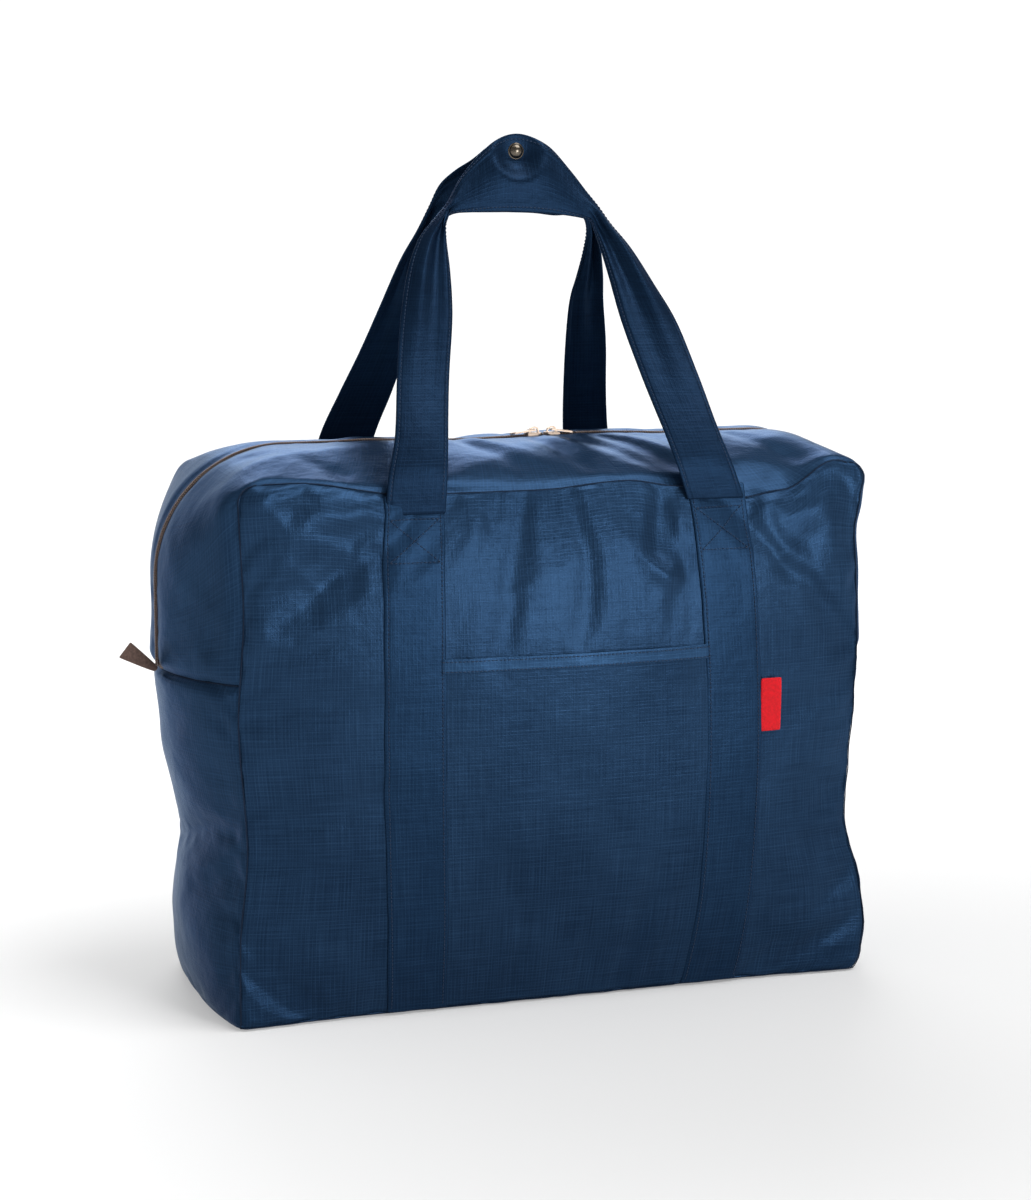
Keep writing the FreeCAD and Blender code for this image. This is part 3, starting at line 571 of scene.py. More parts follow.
class Value:
    """A number in a material, which takes part in sums like any other."""

    def __init__(self, tree, socket):
        self.tree, self.socket = tree, socket

    def math(self, operation, *others):
        terms = [other.socket if isinstance(other, Value) else other for other in (self, *others)]
        return Value(self.tree, node(self.tree, "Math", dict(enumerate(terms)), operation=operation).outputs[0])

    def __add__(self, other):
        return self.math("ADD", other)

    def __mul__(self, other):
        return self.math("MULTIPLY", other)

    def __truediv__(self, other):
        return self.math("DIVIDE", other)

    def clamped(self):
        return self.math("MAXIMUM", 0.0).math("MINIMUM", 1.0)


def material(name, **sockets):
    made = bpy.data.materials.new(name)
    made.use_nodes = True
    shader = made.node_tree.nodes["Principled BSDF"]
    for key, value in sockets.items():
        shader.inputs[key.replace("_", " ")].default_value = value
    return made, made.node_tree, shader


def rgb(screen):
    """A colour as it looks on a screen, 0 to 255, as the shader's linear numbers."""
    return tuple(((c / 255 + 0.055) / 1.055) ** 2.4 if c > 10 else c / 255 / 12.92 for c in screen) + (1.0,)


def mixed(factor, low, high):
    """A colour between low and high, as a socket."""
    return node(factor.tree, "Mix", {0: factor.socket, 6: low, 7: high}, data_type="RGBA").outputs[2]


def coordinates(tree, socket, scale):
    """The three parts of a place, as values in units of scale."""
    split = node(tree, "SeparateXYZ", {0: socket})
    return [Value(tree, part) / scale for part in split.outputs]


def in_space(tree, scale):
    """Where a point of the piece is, in units of scale."""
    return coordinates(tree, node(tree, "TexCoord").outputs["Object"], scale)


def noise(parts, sizes, detail):
    """Smooth noise over two or three coordinates, whose grain is sizes wide."""
    tree = parts[0].tree
    scaled = {k: (part / size).socket for k, (part, size) in enumerate(zip(parts, sizes))}
    place = node(tree, "CombineXYZ", scaled).outputs[0]
    grain = node(tree, "TexNoise", {"Vector": place, "Scale": 1.0, "Detail": detail})
    return Value(tree, grain.outputs[0])


def lines(coordinate, pitch, width):
    """1 on thin lines pitch apart, falling to 0 at their sides."""
    away = coordinate.math("PINGPONG", pitch / 2) / width
    return (away * -1.0 + 1.0).math("MAXIMUM", 0.0).math("SMOOTH_MIN", 1.0, 0.2)


def finish_surface(shader, tones, amount, relief, strength, depth, roughness):
    """Gives the shader a colour between two tones, a relief of depth millimetres and a roughness."""
    tree = amount.tree
    colour = mixed(amount, *(rgb(tone) for tone in tones))
    bumps = node(tree, "Bump", {"Height": relief.socket, "Strength": strength, "Distance": depth * MM})
    tree.links.new(colour, shader.inputs["Base Color"])
    tree.links.new(bumps.outputs[0], shader.inputs["Normal"])
    tree.links.new(roughness.socket, shader.inputs["Roughness"])


def ripstop(name, dark, light, roughness):
    """Thin nylon with a grid of thicker threads; single threads catch the light in streaks."""
    made, tree, shader = material(name, Metallic=0.5, Specular_IOR_Level=0.12,
                                  Specular_Tint=(0.3, 0.52, 0.85, 1.0))
    flat = coordinates(tree, node(tree, "UVMap", uv_map="cloth").outputs[0], MM)[:2]
    u, v = flat
    grid_lines = lines(u, RIPSTOP_PITCH, 0.5).math("MAXIMUM", lines(v, RIPSTOP_PITCH, 0.5))
    weave = lines(u, 0.5, 0.25) + lines(v, 0.5, 0.25)
    streaks = (noise(flat, (40.0, 0.9), 1.0) + noise(flat, (0.9, 40.0), 1.0)) * 0.5
    patches = noise(flat, (70.0, 70.0), 2.0)
    thread = grid_lines * (streaks * 1.2 + -0.1)
    # Painted shade: the cloth's colour darkens from 0.28 m down to the floor, standing in for the shade on the
    # lower bag.
    painted_shade = in_space(tree, 1.0)[2].math("MINIMUM", PAINTED_SHADE_TOP) * (0.2 / PAINTED_SHADE_TOP) + -0.2
    amount = thread * 0.34 + streaks * 0.7 + patches * 0.4 + painted_shade + -0.3
    relief = noise(flat, (9.0, 9.0), 4.0) * 3.6 + grid_lines * 0.3 + weave * 0.12 + streaks * 0.5
    finish_surface(shader, (dark, light), amount.clamped(), relief, 0.55, 0.25,
                   streaks * 0.16 + (roughness - 0.08))
    return made


def woven(name, dark, light, pitch, sheen=0.25):
    """Ribbed tape: raised ribs across, with the threads between them darker."""
    made, tree, shader = material(name, Sheen_Weight=sheen, Sheen_Roughness=0.5, Specular_IOR_Level=0.3)
    place = in_space(tree, MM)
    ribs = lines(place[0], pitch, pitch * 0.45) + lines(place[2], pitch, pitch * 0.45)
    grain = noise(place, (1 / 0.6,) * 3, 4.0)
    finish_surface(shader, (dark, light), ribs * (grain * 1.1 + -0.1), ribs, 0.6, 0.2, grain * 0.2 + 0.65)
    return made


def worn(name, dark, light, metallic, roughness, grain=0.5):
    """Metal, plastic or thread with fine mottling in its colour and gloss."""
    made, tree, shader = material(name, Metallic=metallic, Specular_IOR_Level=0.3)
    mottle = noise(in_space(tree, MM), (1 / grain,) * 3, 4.0)
    finish_surface(shader, (dark, light), mottle, mottle, 0.25, 0.05, mottle * 0.25 + (roughness - 0.12))
    return made


BAG_CLOTH = ripstop("bag_cloth", (19, 37, 59), (49, 78, 111), 0.32)
# The strap and band cloths are the bag's cloth in darker tones, as painted shade: darkest on the handles, less
# on the straps sewn to the panels.
SHADED_STRAP_CLOTH = ripstop("strap_cloth", (11, 24, 42), (28, 52, 79), 0.36)
SHADED_BAND_CLOTH = ripstop("band_cloth", (16, 34, 56), (42, 71, 103), 0.35)
HEM_CLOTH = ripstop("hem_cloth", (25, 47, 74), (60, 95, 132), 0.34)
LINING_CLOTH = ripstop("pouch_cloth", (13, 34, 60), (34, 66, 102), 0.5)
ZIP_TAPE = woven("zip_tape", (62, 44, 36), (122, 96, 82), 0.8)
TAB_TAPE = woven("tab_tape", (70, 52, 46), (128, 104, 94), 0.9)
BINDING = woven("binding_tape", (10, 24, 48), (28, 56, 96), 1.1)
LABEL = woven("label_cloth", (176, 2, 14), (248, 12, 34), 0.45, 0.04)
COIL = worn("zip_coil", (96, 78, 70), (146, 126, 116), 0.0, 0.5)
THREAD = worn("thread", (8, 20, 38), (30, 56, 88), 0.0, 0.6, 1.2)
# The seam thread is dark and fully rough: it stands for the seam and also for painted shade in the seam's
# groove.
SEAM_THREAD_AND_SHADE = worn("seam_thread", (9, 20, 38), (18, 36, 60), 0.0, 1.0, 1.2)
ZIP_METAL = worn("zip_metal", (118, 102, 90), (182, 164, 148), 1.0, 0.3)
SNAP_METAL = worn("snap_metal", (66, 60, 54), (126, 118, 106), 1.0, 0.24)


# --- dressing each piece and hiding the part it stands for ---
def dress(piece, finish):
    piece.data.materials.clear()
    piece.data.materials.append(finish)
    return piece


def sewn_on(piece, finish, slot, stands_for=None, flat=None, held="stretched", rests_on=()):
    """Dresses a piece that rides on the bag, and hides the part it stands for."""
    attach(dress(piece, finish), "bag")
    if stands_for:
        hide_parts(stands_for)


# --- shell ---
def creased(grid, normals, folds):
    for start, end, width, height in folds:
        grid = fold(grid, normals, start, end, width, height)
    return grid


def shell_grids():
    """The outer faces of the filled bag, each with the sign that turns its normals outwards."""
    grids = {
        "front": (panel_grid(FRONT), 1, FRONT_FOLDS),
        "back": (panel_grid(BACK), -1, BACK_FOLDS),
        "gusset_front": (gusset_grid(FRONT), 1, TOP_FOLDS),
        "gusset_back": (gusset_grid(BACK), -1, TOP_BACK_FOLDS),
        "side_left": (side_grid(LEFT), -1, LEFT_FOLDS),
        "side_right": (side_grid(RIGHT), 1, RIGHT_FOLDS),
    }
    shaped = {}
    for seed, (name, (grid, sign, folds)) in enumerate(grids.items()):
        normals = grid_normals(grid, sign)
        flat = flat_places(grid)
        u, v = flat[..., 0], flat[..., 1]
        from_edge = np.minimum(np.minimum(u, u.max() - u), np.minimum(v, v.max() - v))
        grid = puckers(grid, normals, from_edge, u + v, 0.4, 9.0, seed)
        keep = smooth_step(from_edge, 1.0, 12.0)
        lively = 0.45 if "gusset" in name else 0.75 * smooth_step(grid[..., 2], 220, 330)
        amount = keep * (0.15 + 0.35 * smooth_step(grid[..., 2], 10, 80) + lively)
        grid = crumpled(grid, normals, flat, amount, seed)
        folded = creased(grid, grid_normals(grid, sign), folds)
        shaped[name] = (grid + keep[..., None] * (folded - grid), sign)
    return shaped


shaped = shell_grids()
panels = {name: shaped[name] for name in ("front", "back", "side_left", "side_right")}
for name, grid in simulate(panels).items():
    shaped[name] = (grid, shaped[name][1])
shaped["base"] = (base_grid(), -1)

shell = {}
for name, word, flat in (
    ("bag_front_panel", "front", (0.50, 0.41)),
    ("bag_back_panel", "back", (0.50, 0.41)),
    ("bag_side_left", "side_left", (0.22, 0.26)),
    ("bag_side_right", "side_right", (0.22, 0.26)),
    ("bag_base", "base", (0.51, 0.205)),
):
    shell[word] = cloth_piece(name, *shaped[word])
    node_name = word.replace("side", "side_panel") if "side" in word else f"{word}_panel"
    lies = ("laid", []) if word == "base" else ("stretched", ["bag_base"])
    sewn_on(shell[word], BAG_CLOTH, "bag_cloth", node_name, flat, *lies)


# --- the zipped top ---
TAPE_REACH, TAPE_SINK = np.array([1.4, 3.0, 5.0, 8.0, 12.0]), np.array([1.3, 1.4, 1.6, 2.0, 2.1])
COIL_PITCH, COIL_R = 1.9, 0.42
# How far each point of a coil's loop reaches to its own side, and how far it stands out.
COIL_LOOP = ((3.0, -0.4), (2.4, 0.35), (1.2, 0.7), (-0.5, 0.6), (-0.9, -0.2))


def opened(piece, side, ramp):
    """Bakes the transform of a piece of the zipped top and works out how far it would blend between the bag and
    its flap: most in the middle of the top, none at the ends, and with a ramp none at the seam either.
    The blend itself is not applied."""
    half = "flap_front" if side == FRONT else "flap_back"
    seam, zip_line = (0, side * HALF_D * MM, SEAM_TOP * MM), (0, 0, RIDGE_TOP * MM)
    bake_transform(piece)
    x, y, _ = points_of(piece.data).T
    weight = smooth_step(OPEN_END - np.abs(x), 0, OPEN_END - OPEN_FULL)
    if ramp:
        weight = weight * smooth_step(HALF_D - np.abs(y), 2, 28)


def zip_path(step):
    """Points along the middle of the zip, and the outward direction at each."""
    stations = gusset_stations()
    path = settle_shape(gusset_point(stations, np.zeros(len(stations))))
    path = evenly(path, int(lengths(path)[-1] / step) + 1)
    along = unit(np.gradient(path, axis=0))
    return path, np.cross(along, [0, 1.0, 0])


def zip_tape_grid(side):
    path, out = zip_path(GRID)
    across = np.array([0, side, 0.0])
    return path[:, None] + across * TAPE_REACH[None, :, None] - out[:, None] * TAPE_SINK[None, :, None]


def zip_coil_piece(name, side):
    """Nylon loops that reach over the middle and hook round the other half's loops."""
    path, out = zip_path(COIL_PITCH)
    along = unit(np.gradient(path, axis=0))
    points, faces = [], []
    for k in range(1, len(path) - 1):
        middle = path[k] + along[k] * (COIL_PITCH / 2 if side == BACK else 0.0)
        loop = [middle + np.array([0, side * reach, 0]) + out[k] * rise for reach, rise in COIL_LOOP]
        add_tube(points, faces, loop, COIL_R, 5, along[k])
    return mesh_piece(name, points, faces)


for word, side in SIDES:
    gusset = cloth_piece(f"top_gusset_{word}", *shaped[f"gusset_{word}"])
    tape = cloth_piece(f"main_zip_tape_{word}", zip_tape_grid(side), side, 0.7)
    coil = zip_coil_piece(f"main_zip_coil_{word}", side)
    dress(gusset, BAG_CLOTH)
    dress(tape, ZIP_TAPE)
    dress(coil, COIL)
    for piece, kind in ((gusset, "gusset"), (tape, "zip_tape"), (coil, "zip_coil")):
        opened(piece, side, ramp=piece is gusset)
        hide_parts(*(f"{kind}_{word}_{part}" for part in ("left", "right", "top")))


# --- seams ---
SEAM_R, SEAM_LIFT = 0.4, 0.5


# A dark tube along each seam: the seam line itself, and painted shade for the dark groove where the cloth rolls
# into the seam.
def seam_line(name, path, outward):
    points, faces = [], []
    add_tube(points, faces, path + SEAM_LIFT * np.array(outward), SEAM_R, 6, (0.3, 1, 0.2))
    sewn_on(mesh_piece(name, points, faces), SEAM_THREAD_AND_SHADE, "bag_cloth")


for word, side in SIDES:
    grid = shaped[word][0]
    round_panel = np.concatenate([grid[0], grid[1:-1, -1], grid[-1, ::-1]])
    seam_line(f"seam_{word}", round_panel, (0, side, 0))
    seam_line(f"seam_base_{word}", grid[:, 0], (0, side, 0))
for word, end in (("left", LEFT), ("right", RIGHT)):
    seam_line(f"seam_side_{word}", shaped[f"side_{word}"][0][:, -1], (end, 0, 0))


# --- what is sewn on the panels ---
class Face:
    """The outer face of the front or the back panel, found by looking at it squarely."""

    def __init__(self, piece, side):
        self.side = side
        self.tree = BVHTree.FromObject(piece, bpy.context.evaluated_depsgraph_get())
        self.dip = FRONT_DIP if side == FRONT else BACK_DIP

    def out(self, x, z):
        limit = SEAM_TOP - float(self.dip(x)) - 5.0
        eye = Vector((x, self.side * 3 * HALF_D, min(max(z, 4.0), limit))) * MM
        place = self.tree.ray_cast(eye, Vector((0, -self.side, 0)))[0]
        return abs(place.y) / MM

    def grid(self, x, z, lift):
        """A grid of points lift outside the face."""
        x, z, lift = np.broadcast_arrays(x, z, lift)
        return xyz(x, self.side * (np.vectorize(self.out)(x, z) + lift), z)


panel_faces = {word: Face(shell[word], side) for word, side in SIDES}
STRAP_LIFT = 1.7            # from the panel to the strap's outer face
STITCH_IN = 3.0             # from a strap's edge to its stitching
BOX_LOW, BOX_HIGH, BOX_HALF = 331.0, 361.0, 18.5    # of the boxed cross stitch


def strap_middle(strap, z):
    x, bow = strap
    return x + bow * dome(z / SEAM_TOP)


def strap_profile(across):
    """Height of a folded strap over its width: rounded at its edges, pulled down along its stitching."""
    edge = STRAP_HALF - np.abs(across)
    return STRAP_LIFT - 0.8 * np.exp(-edge / 0.8) - 0.3 * bump(edge, STITCH_IN, 0.9)


def strap_pieces(word, end, strap):
    name, face = f"{word}_{end}", panel_faces[word]
    across = places(2 * STRAP_HALF, 3.6, (0.0, 0.8, 2.0, 3.0, 4.2))[:, None] - STRAP_HALF
    z = np.linspace(2.2, STRAP_TOP, 96)[None, :]
    sway = 0.6 * np.sin(z / 23.0 + len(name)) + 0.35 * np.sin(z / 9.0)
    grid = face.grid(strap_middle(strap, z) + across + sway * 0.6, z, strap_profile(across))
    sewn_on(cloth_piece(f"strap_band_{name}", grid, -face.side, 0.9), SHADED_BAND_CLOTH,
            "strap_cloth", f"strap_{name}", (0.045, 0.376), rests_on=[f"bag_{word}_panel"])

    def run(xs, zs, lift=0.1):
        path = face.grid(strap_middle(strap, zs) + np.array(xs), zs, STRAP_LIFT + lift)
        return path, np.broadcast_to([0, face.side, 0.0], path.shape)

    tall, wide = np.linspace(5, STRAP_TOP - 3, 80), np.linspace(-BOX_HALF, BOX_HALF, 12)
    box, inset = np.linspace(BOX_LOW, BOX_HIGH, 12), STRAP_HALF - STITCH_IN
    runs = [run(-inset, tall, -0.2), run(inset, tall, -0.2), run(wide, 0 * wide + BOX_LOW),
            run(wide, 0 * wide + BOX_HIGH), run(wide, box), run(wide, box[::-1])]
    sewn_on(stitch_piece(f"strap_stitches_{name}", runs), THREAD, "strap_cloth")


for word, straps in (("front", FRONT_STRAPS), ("back", BACK_STRAPS)):
    for end, strap in zip(("left", "right"), straps):
        strap_pieces(word, end, strap)


def pocket_layer(z, lift):
    """A layer over the front panel from under one strap's edge to under the other's."""
    share = np.linspace(0, 1, 36)[:, None]
    tucked = STRAP_HALF - 4.0
    left = strap_middle(FRONT_STRAPS[0], z) + tucked
    right = strap_middle(FRONT_STRAPS[1], z) - tucked
    stand = 4.5 * dome(share) * (z / POCKET_TOP) ** 2
    x = left + (right - left) * share
    slack = 0.5 * np.sin(x / 13.0 + z / 31.0) * (z / POCKET_TOP)
    return panel_faces["front"].grid(x, z, lift + stand + slack)


pocket_z, hem_z = np.linspace(3, POCKET_TOP, 54), np.linspace(POCKET_HEM_LOW, POCKET_TOP + 0.6, 8)
pocket = cloth_piece("slip_pocket", pocket_layer(pocket_z[None, :], 0.75), 1, 0.5)
hem = cloth_piece("slip_pocket_hem", pocket_layer(hem_z[None, :], 1.7), 1, 0.8)
hem_edges = []
for z in (POCKET_HEM_LOW + 1.2, POCKET_TOP - 1.6):
    hem_run = pocket_layer(np.array([[z]]), 1.75)[:, 0]
    hem_edges.append((hem_run, np.broadcast_to([0, -1.0, 0], hem_run.shape)))
sewn_on(pocket, BAG_CLOTH, "bag_cloth", "front_pocket", (0.19, 0.262), rests_on=["bag_front_panel"])
sewn_on(hem, HEM_CLOTH, "bag_cloth", "front_pocket_hem", (0.19, 0.0125), rests_on=["bag_front_panel"])
sewn_on(stitch_piece("slip_pocket_stitches", hem_edges), THREAD, "bag_cloth")


# --- handles ---
# Each row is a place along the loop: the outer edge's x and z, the inner edge's x and z, how far the strap
# is twisted there, from 0 to 1, and whether it is grip rather than strap.
FRONT_LOOP = [
    (-134, 364, -89, 364, 0, 0), (-131, 392, -87, 392, 0, 0), (-123.6, 417, -83.3, 416, 0, 0),
    (-115.4, 459, -75.5, 459, 0.2, 0), (-106, 500, -67, 500, 0.5, 0), (-96, 533, -63.8, 530, 0.9, 0),
    (-84.7, 555, -63, 549, 1, 0), (-74.5, 566, -62.6, 560, 1, 0.1), (-66, 574.5, -62.2, 567, 1, 0.3),
    (-59.4, 582, -60.5, 572.5, 0.7, 0.7), (-51, 596, -54, 573, 0.2, 1), (-40.6, 609, -42, 573.4, 0, 1),
    (-22.4, 625.5, -24, 573.6, 0, 1), (-2.4, 631, -4, 573.3, 0, 1), (19.6, 622.5, 17, 572.3, 0, 1),
    (36.8, 604.5, 33, 570.5, 0, 1), (49, 589, 43.5, 568.6, 0.2, 1), (57.5, 578, 48.6, 567.2, 0.7, 0.7),
    (66, 565, 51, 561, 1, 0.3), (79, 547.5, 53.8, 549, 1, 0.1), (93, 521, 57, 527, 0.9, 0),
    (106, 494, 61, 496, 0.5, 0), (115, 458, 69.5, 459, 0.2, 0), (122.5, 422, 79, 422, 0, 0),
    (130, 396, 86, 395, 0, 0), (140, 367, 95, 367, 0, 0),
]
BACK_LOOP = [
    (-134, 366, -89, 366, 0, 0), (-130.5, 402, -86, 401, 0, 0), (-119, 436, -77, 436, 0.1, 0),
    (-107.5, 468, -70, 468, 0.3, 0), (-96, 504, -64, 502, 0.6, 0), (-84.7, 538, -60, 532, 1, 0),
    (-75, 559, -58, 550, 1, 0.1), (-66.5, 579, -56, 564, 0.8, 0.5), (-59.5, 594, -48, 571, 0.3, 1),
    (-47.9, 604.5, -38, 573, 0, 1), (-34.2, 613, -27, 573, 0, 1), (-17, 626, -15, 573, 0, 1),
    (-3, 630.5, -3, 573, 0, 1), (19.6, 622.5, 17, 572.3, 0, 1), (36.8, 604.5, 33, 570.5, 0, 1),
    (50, 589, 47, 571, 0.2, 1), (58.5, 578, 56, 569.5, 0.7, 0.7), (66, 566, 59.5, 561, 1, 0.3),
    (73, 548, 59.2, 544, 1, 0.1), (79, 526, 57, 524, 0.8, 0), (83, 505, 55, 505, 0.5, 0),
    (92, 470, 57.5, 470, 0.2, 0), (99, 436, 62, 436, 0.1, 0), (106.5, 402, 68, 402, 0, 0),
    (111.5, 388, 71, 388, 0, 0), (119, 366, 74, 366, 0, 0),
]
# How far the handles stand out from the bag's middle plane, up their height.
LEAN = curve_through([(366, 99.4), (384, 99.2), (393, 97.8), (408, 92), (470, 61), (540, 26), (566, 13.5),
                      (584, 8), (606, 5.6), (634, 2.9)], 200)


CAP_LOW, CAP_HIGH = cad_box("snap_cap")
POST_LOW = cad_box("snap_post")[0]
SNAP_X, _, SNAP_Z = (CAP_LOW + CAP_HIGH) / 2
SNAP_SEAT = {FRONT: -CAP_HIGH[1] - 0.1, BACK: POST_LOW[1] + 0.2}
LOOP_WIDTH = 42.0           # the strap's width across the free loop


def handle_grid(loop, side):
    rows = curve_through(loop, 230)[:, None, :]
    share = places(LOOP_WIDTH, 3.0, (0.0, 0.8, 1.9, 3.0, 4.4, 5.2, 6.2))[None, :] / LOOP_WIDTH
    x = rows[..., 0] + (rows[..., 2] - rows[..., 0]) * share
    z = rows[..., 1] + (rows[..., 3] - rows[..., 1]) * share
    twist, grip = np.clip(rows[..., 4], 0, 1), np.clip(rows[..., 5], 0, 1)
    out = np.interp(z, LEAN[:, 0], LEAN[:, 1]) + 0.9
    ridge = 6.5 * bump(share, 0.3, 0.2) - 1.6 * bump(share, 0.62, 0.14) + 2.6 * bump(share, 0.86, 0.12)
    hood = 8.5 * np.sin(math.pi * np.clip(share / 1.3, 0, 1)) ** 0.8
    hood = hood + 1.6 * (1 - smooth_step(share, 0.115, 0.14))
    from_snap = np.hypot(x - SNAP_X, z - SNAP_Z)
    pinch = 1.4 * bump(from_snap, 20.0, 8.0)
    edge = np.minimum(share, 1 - share) * LOOP_WIDTH
    free = smooth_step(z, 378, 430)
    cup = (1.6 * dome(share) + 0.9 * np.sin(z / 21.0 + 2.4 * share)) * free - 0.5 * (1 - free)
    sewn = -0.8 * np.exp(-edge / 0.8) - 0.35 * bump(edge, STITCH_IN, 0.9)
    out = out + twist * ridge + grip * (hood + pinch) + (1 - grip) * cup + sewn
    out = SNAP_SEAT[side] + (out - SNAP_SEAT[side]) * smooth_step(from_snap, 6.0, 22.0)
    return xyz(x, side * np.maximum(out, 1.6), z)


for (word, side), loop in zip(SIDES, (FRONT_LOOP, BACK_LOOP)):
    body = f"handle_{word}"
    grid = handle_grid(loop, side)
    handle = dress(cloth_piece(f"carry_{body}", grid, side, 1.7), SHADED_STRAP_CLOTH)
    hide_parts(body)
    pivot_y, pivot_z = side * HANDLE_PIVOT[0] * MM, HANDLE_PIVOT[1] * MM
    bend = {"start": (0, pivot_y, pivot_z - 6 * MM), "end": (0, pivot_y, pivot_z + 8 * MM)}
    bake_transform(handle)
    normals = grid_normals(grid, side)
    runs = [(grid[4:-4, column], normals[4:-4, column]) for column in (3, grid.shape[1] - 4)]
    stitches = dress(stitch_piece(f"handle_stitches_{word}", runs), THREAD)
    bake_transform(stitches)


def lathe(name, profile, place, side):
    """A turned piece that faces a side. profile is radius and height towards it, from the middle outwards."""
    sides = 40
    direction = np.array([0.0, side, 0.0])
    across = unit(np.cross(direction, [0.3, 0.2, 1.0]))
    other = np.cross(direction, across)
    centre = np.array([SNAP_X, place, SNAP_Z])
    points = [centre + direction * profile[0][1]]
    for radius, height in profile[1:]:
        middle = centre + direction * height
        points += [middle + radius * (across * math.cos(turn) + other * math.sin(turn))
                   for turn in turns(sides)]
    faces = [(0, 1 + k, 1 + (k + 1) % sides) for k in range(sides)]
    faces += ring_faces(1, len(profile) - 1, sides)
    last = 1 + (len(profile) - 2) * sides
    faces.append(tuple(range(last, last + sides))[::-1])
    return mesh_piece(name, points, faces)


CAP_PROFILE = [(0, 3.1), (1.6, 3.0), (3.0, 2.55), (4.2, 1.8), (4.9, 1.0), (5.2, 0.5), (5.25, 0.25), (5.7, 0.35),
               (6.1, 0.1), (6.15, -0.5), (5.9, -1.1), (5.0, -1.2)]
POST_PROFILE = [(0, 0.1), (1.1, 0.15), (1.5, 0.7), (3.6, 0.8), (4.5, 0.6), (4.8, 0.2), (4.7, -0.8), (4.0, -1.0)]
for name, profile, place, side, body, node_name in (
    ("snap_dome", CAP_PROFILE, CAP_HIGH[1], FRONT, "handle_front", "snap_cap"),
    ("snap_rivet", POST_PROFILE, POST_LOW[1] + 0.6, BACK, "handle_back", "snap_post"),
):
    turned = dress(lathe(name, profile, place, side), SNAP_METAL)
    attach(turned, body)
    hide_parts(node_name)


# --- label and end tabs ---
def blended(piece, finish, stands_for):
    """Dresses a piece, bakes its transform into its points and hides the part it stands for."""
    dress(piece, finish)
    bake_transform(piece)
    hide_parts(stands_for)


low, high = cad_box("side_label")
share = np.linspace(0, 1, 8)[:, None]
z = np.linspace(low[2], high[2], 14)[None, :]
strap_edge = panel_faces["front"].out(low[0], (low[2] + high[2]) / 2)
out = strap_edge + 1.5 + 0.9 * share + 0.5 * np.sin(z / 11.0) * share
label_grid = xyz(low[0] - 1.2 + (high[0] - low[0] + 1.0) * share, -out, z + 0.5 * share)
label = cloth_piece("flag_label", label_grid, 1, 1.0)
blended(label, LABEL, "side_label")


def end_tab(word, grid, sign):
    piece = cloth_piece(f"end_tab_{word}", grid, sign, 1.6)
    blended(piece, TAB_TAPE, f"zip_end_tab_{word}")


# Tape folded double: on the left it is pinched at its root, opens towards its cut end and stands out, and on
# the right it hangs flat against the side.
share = np.linspace(0, 1, 12)[:, None]
across = np.linspace(-1, 1, 9)[None, :]
low, high = cad_box("zip_end_tab_left")
half = 2.2 + 5.0 * share**0.8
end_tab("left", xyz(high[0] + 2.5 - (high[0] - low[0] - 3.5) * share + 0.62 * half * across,
                    -1.4 * (1 - across**2) - 1.5 * share * np.abs(across) ** 1.5,
                    SIDE_SEAM - 1.5 + 16.0 * share + 0.78 * half * across),
        -1)
low, high = cad_box("zip_end_tab_right")
end_tab("right", xyz(high[0] - 0.4 - 0.6 * across**2 - 2.2 * smooth_step(1 - share, 0.5, 1), 6.4 * across,
                     high[2] + 1.5 - (high[2] - low[2] + 1.0) * share),
        1)


# --- sliders, pulls and the parts inside ---
METALS = {"zip_slider_left": ZIP_METAL, "zip_pull_left": ZIP_METAL, "zip_slider_right": ZIP_METAL,
          "zip_pull_right": ZIP_METAL, "pouch_zip_slider": ZIP_METAL, "pouch_zip_pull": ZIP_METAL,
          "snap_socket": SNAP_METAL, "snap_stud": SNAP_METAL}
for node_name, finish in METALS.items():
    # The CAD shape is right here, and only its edges are softened.
    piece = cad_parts[node_name]
    edges = piece.modifiers.new("Bevel", "BEVEL")
    edges.width, edges.segments, edges.limit_method = 0.25 * MM, 2, "ANGLE"
    piece.data.materials.clear()
    piece.data.materials.append(finish)

BINDING_CORNER = 6.0
for word, side in SIDES:
    low, high = cad_box(f"seam_binding_{word}")
    turn = np.linspace(0, math.pi / 2, 6)
    right = [(high[0], z) for z in np.linspace(SIDE_SEAM - 2, low[2] + BINDING_CORNER, 30)]
    right += [(high[0] - BINDING_CORNER * (1 - math.cos(a)), low[2] + BINDING_CORNER * (1 - math.sin(a)))
              for a in turn]
    line = np.array([(-x, z) for x, z in right] + right[::-1])
    path = evenly(line, 170)[:, None]
    across = np.linspace(0, 1, 6)[None, :]
    wave = 0.5 * np.sin(np.arange(170) / 5.0)[:, None] * across
    y = side * (HALF_D - CLOTH - 1.2 - (high[1] - low[1]) * across)
    binding_grid = settle_shape(xyz(path[..., 0] * 0.988, y, path[..., 1] + 0.6 + wave))
    sewn_on(cloth_piece(f"inner_binding_{word}", binding_grid, side, 0.9), BINDING, "binding_tape",
            f"seam_binding_{word}", (0.01, 0.97), "folded", [f"bag_{word}_panel"])

low, high = cad_box("pouch_panel")
share_x = np.linspace(-1, 1, 40)[:, None]
z = np.linspace(low[2], high[2], 36)[None, :]
share_z = 2 * (z - low[2]) / (high[2] - low[2]) - 1
full = 7.0 * (1 - share_x**2) * (1 - share_z**2) + 0.6 * np.sin(share_x * 9) * np.sin(share_z * 7)
pouch_y = low[1] + 8.5 - full - 2.5 * smooth_step(share_z, 0.3, 1)
pouch = cloth_piece("packing_pouch", xyz(share_x * high[0], pouch_y, z), 1, 0.6)

low, high = cad_box("pouch_zip_tape")
tape_grid = xyz(np.linspace(low[0], high[0], 40)[:, None], low[1], np.linspace(low[2], high[2], 6)[None, :])
pouch_tape = cloth_piece("packing_pouch_tape", tape_grid, 1, 0.7)

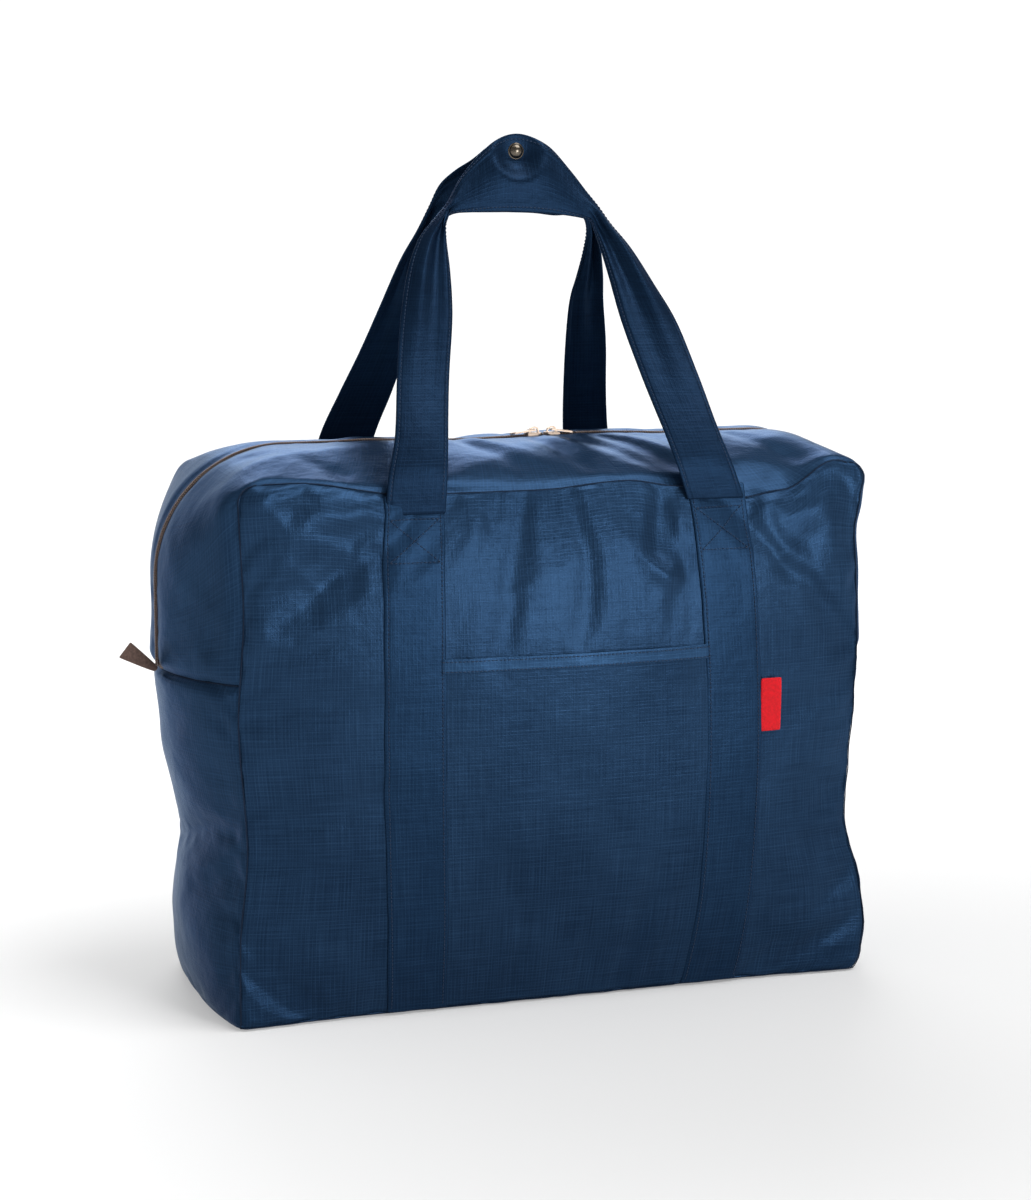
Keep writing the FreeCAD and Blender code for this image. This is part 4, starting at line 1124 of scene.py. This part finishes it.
low, high = cad_box("pouch_zip_coil")
middle_z = (low[2] + high[2]) / 2
points, faces = [], []
for k, x in enumerate(np.arange(low[0], high[0], 1.3)):
    reach = 2.0 if k % 2 else -2.0
    loop = [(x, high[1] - sink, middle_z + reach * share)
            for sink, share in ((0.2, 1), (1.0, 0.6), (1.1, -0.3), (0.5, -0.4))]
    add_tube(points, faces, loop, COIL_R, 5, (1, 0, 0))
pouch_coil = mesh_piece("packing_pouch_coil", points, faces)

for piece, finish, slot, node_name, flat in (
    (pouch, LINING_CLOTH, "bag_cloth", "pouch_panel", (0.2, 0.18)),
    (pouch_tape, ZIP_TAPE, "zip_tape", "pouch_zip_tape", (0.19, 0.014)),
    (pouch_coil, COIL, "zip_coil", "pouch_zip_coil", None),
):
    sewn_on(piece, finish, slot, node_name, flat, rests_on=["bag_back_panel"])


# --- camera, light and floor ---
def turned_to(place, target):
    return (Vector(target) - Vector(place)).to_track_quat("-Z", "Y").to_euler()


camera = added("camera", bpy.data.cameras.new("camera"))
camera.location = (-0.6627, -1.9301, 0.5953)
camera.rotation_euler = turned_to(camera.location, (-0.0034, 0, 0.2839))
camera.data.sensor_width = 36.0
camera.data.lens = 82.05
bpy.context.scene.camera = camera


def softbox(name, place, target, size, power):
    light = bpy.data.lights.new(name, "AREA")
    light.shape = "RECTANGLE"
    light.size, light.size_y = size
    light.energy = power
    lamp = added(name, light)
    lamp.location, lamp.rotation_euler = place, turned_to(place, target)


def soft_sun(name, azimuth, elevation, strength, angle):
    """A light far away and wide across, from an azimuth to the right of the front and an elevation."""
    light = bpy.data.lights.new(name, "SUN")
    light.energy, light.angle = strength, math.radians(angle)
    added(name, light).rotation_euler = (math.radians(90 - elevation), 0, math.radians(azimuth))


soft_sun("key", 50, 58, 2.1, 40)
soft_sun("overhead", 0, 86, 0.6, 60)
soft_sun("rear", 170, 32, 0.6, 30)
softbox("top_gloss", (0.55, 2.3, 1.55), (0, 0, 0.4), (1.8, 0.9), 22)
softbox("front", (0.75, -2.1, 0.6), (0, 0, 0.26), (0.6, 0.4), 16)

bpy.context.scene.view_settings.view_transform = "Standard"
world = bpy.data.worlds.new("studio")
bpy.context.scene.world = world
world.use_nodes = True
sky = world.node_tree
direction = node(sky, "SeparateXYZ", {0: node(sky, "TexCoord").outputs["Generated"]})
ceiling = node(sky, "MapRange", {0: direction.outputs["Z"], 1: 0.3, 2: 0.6})
sky_light = mixed(Value(sky, ceiling.outputs[0]), (0.4, 0.4, 0.4, 1), (0.22, 0.22, 0.22, 1))
sky.links.new(sky_light, sky.nodes["Background"].inputs["Color"])
sky.nodes["Background"].inputs["Strength"].default_value = 1.0


def stage_square(name, corners, paint):
    mesh = bpy.data.meshes.new(name)
    mesh.from_pydata(corners, [], [(0, 1, 2, 3)])
    mesh.materials.append(paint)
    return added(name, mesh)


# The floor is pale grey near the bag, a painted shadow where its glow is turned down, and fades to white where
# it meets the backdrop.
FLOOR, WALL = 12.0, 9.0
floor_paint, paint_tree, paint = material("floor_paint", Base_Color=(0.5, 0.5, 0.5, 1), Roughness=0.8,
                                         Emission_Color=(1, 1, 1, 1))
place = node(paint_tree, "TexCoord").outputs["Object"]
away = node(paint_tree, "VectorMath", {0: place, 1: (0.25, -0.2, 0.0)}, operation="DISTANCE")
floor_shadow_fade = node(paint_tree, "MapRange", {0: away.outputs["Value"], 1: 0.15, 2: 1.05, 3: 0.25, 4: 0.52},
            interpolation_type="SMOOTHSTEP")
paint_tree.links.new(floor_shadow_fade.outputs[0], paint.inputs["Emission Strength"])
floor = stage_square("floor", [(-FLOOR, -FLOOR, 0), (FLOOR, -FLOOR, 0), (FLOOR, FLOOR, 0), (-FLOOR, FLOOR, 0)],
                     floor_paint)
wall_paint = material("backdrop_paint", Base_Color=(0, 0, 0, 1), Emission_Color=(1, 1, 1, 1),
                      Emission_Strength=1.05)[0]
wall = stage_square("backdrop", [(-WALL, FLOOR, -1), (WALL, FLOOR, -1), (WALL, FLOOR, WALL),
                                 (-WALL, FLOOR, WALL)], wall_paint)
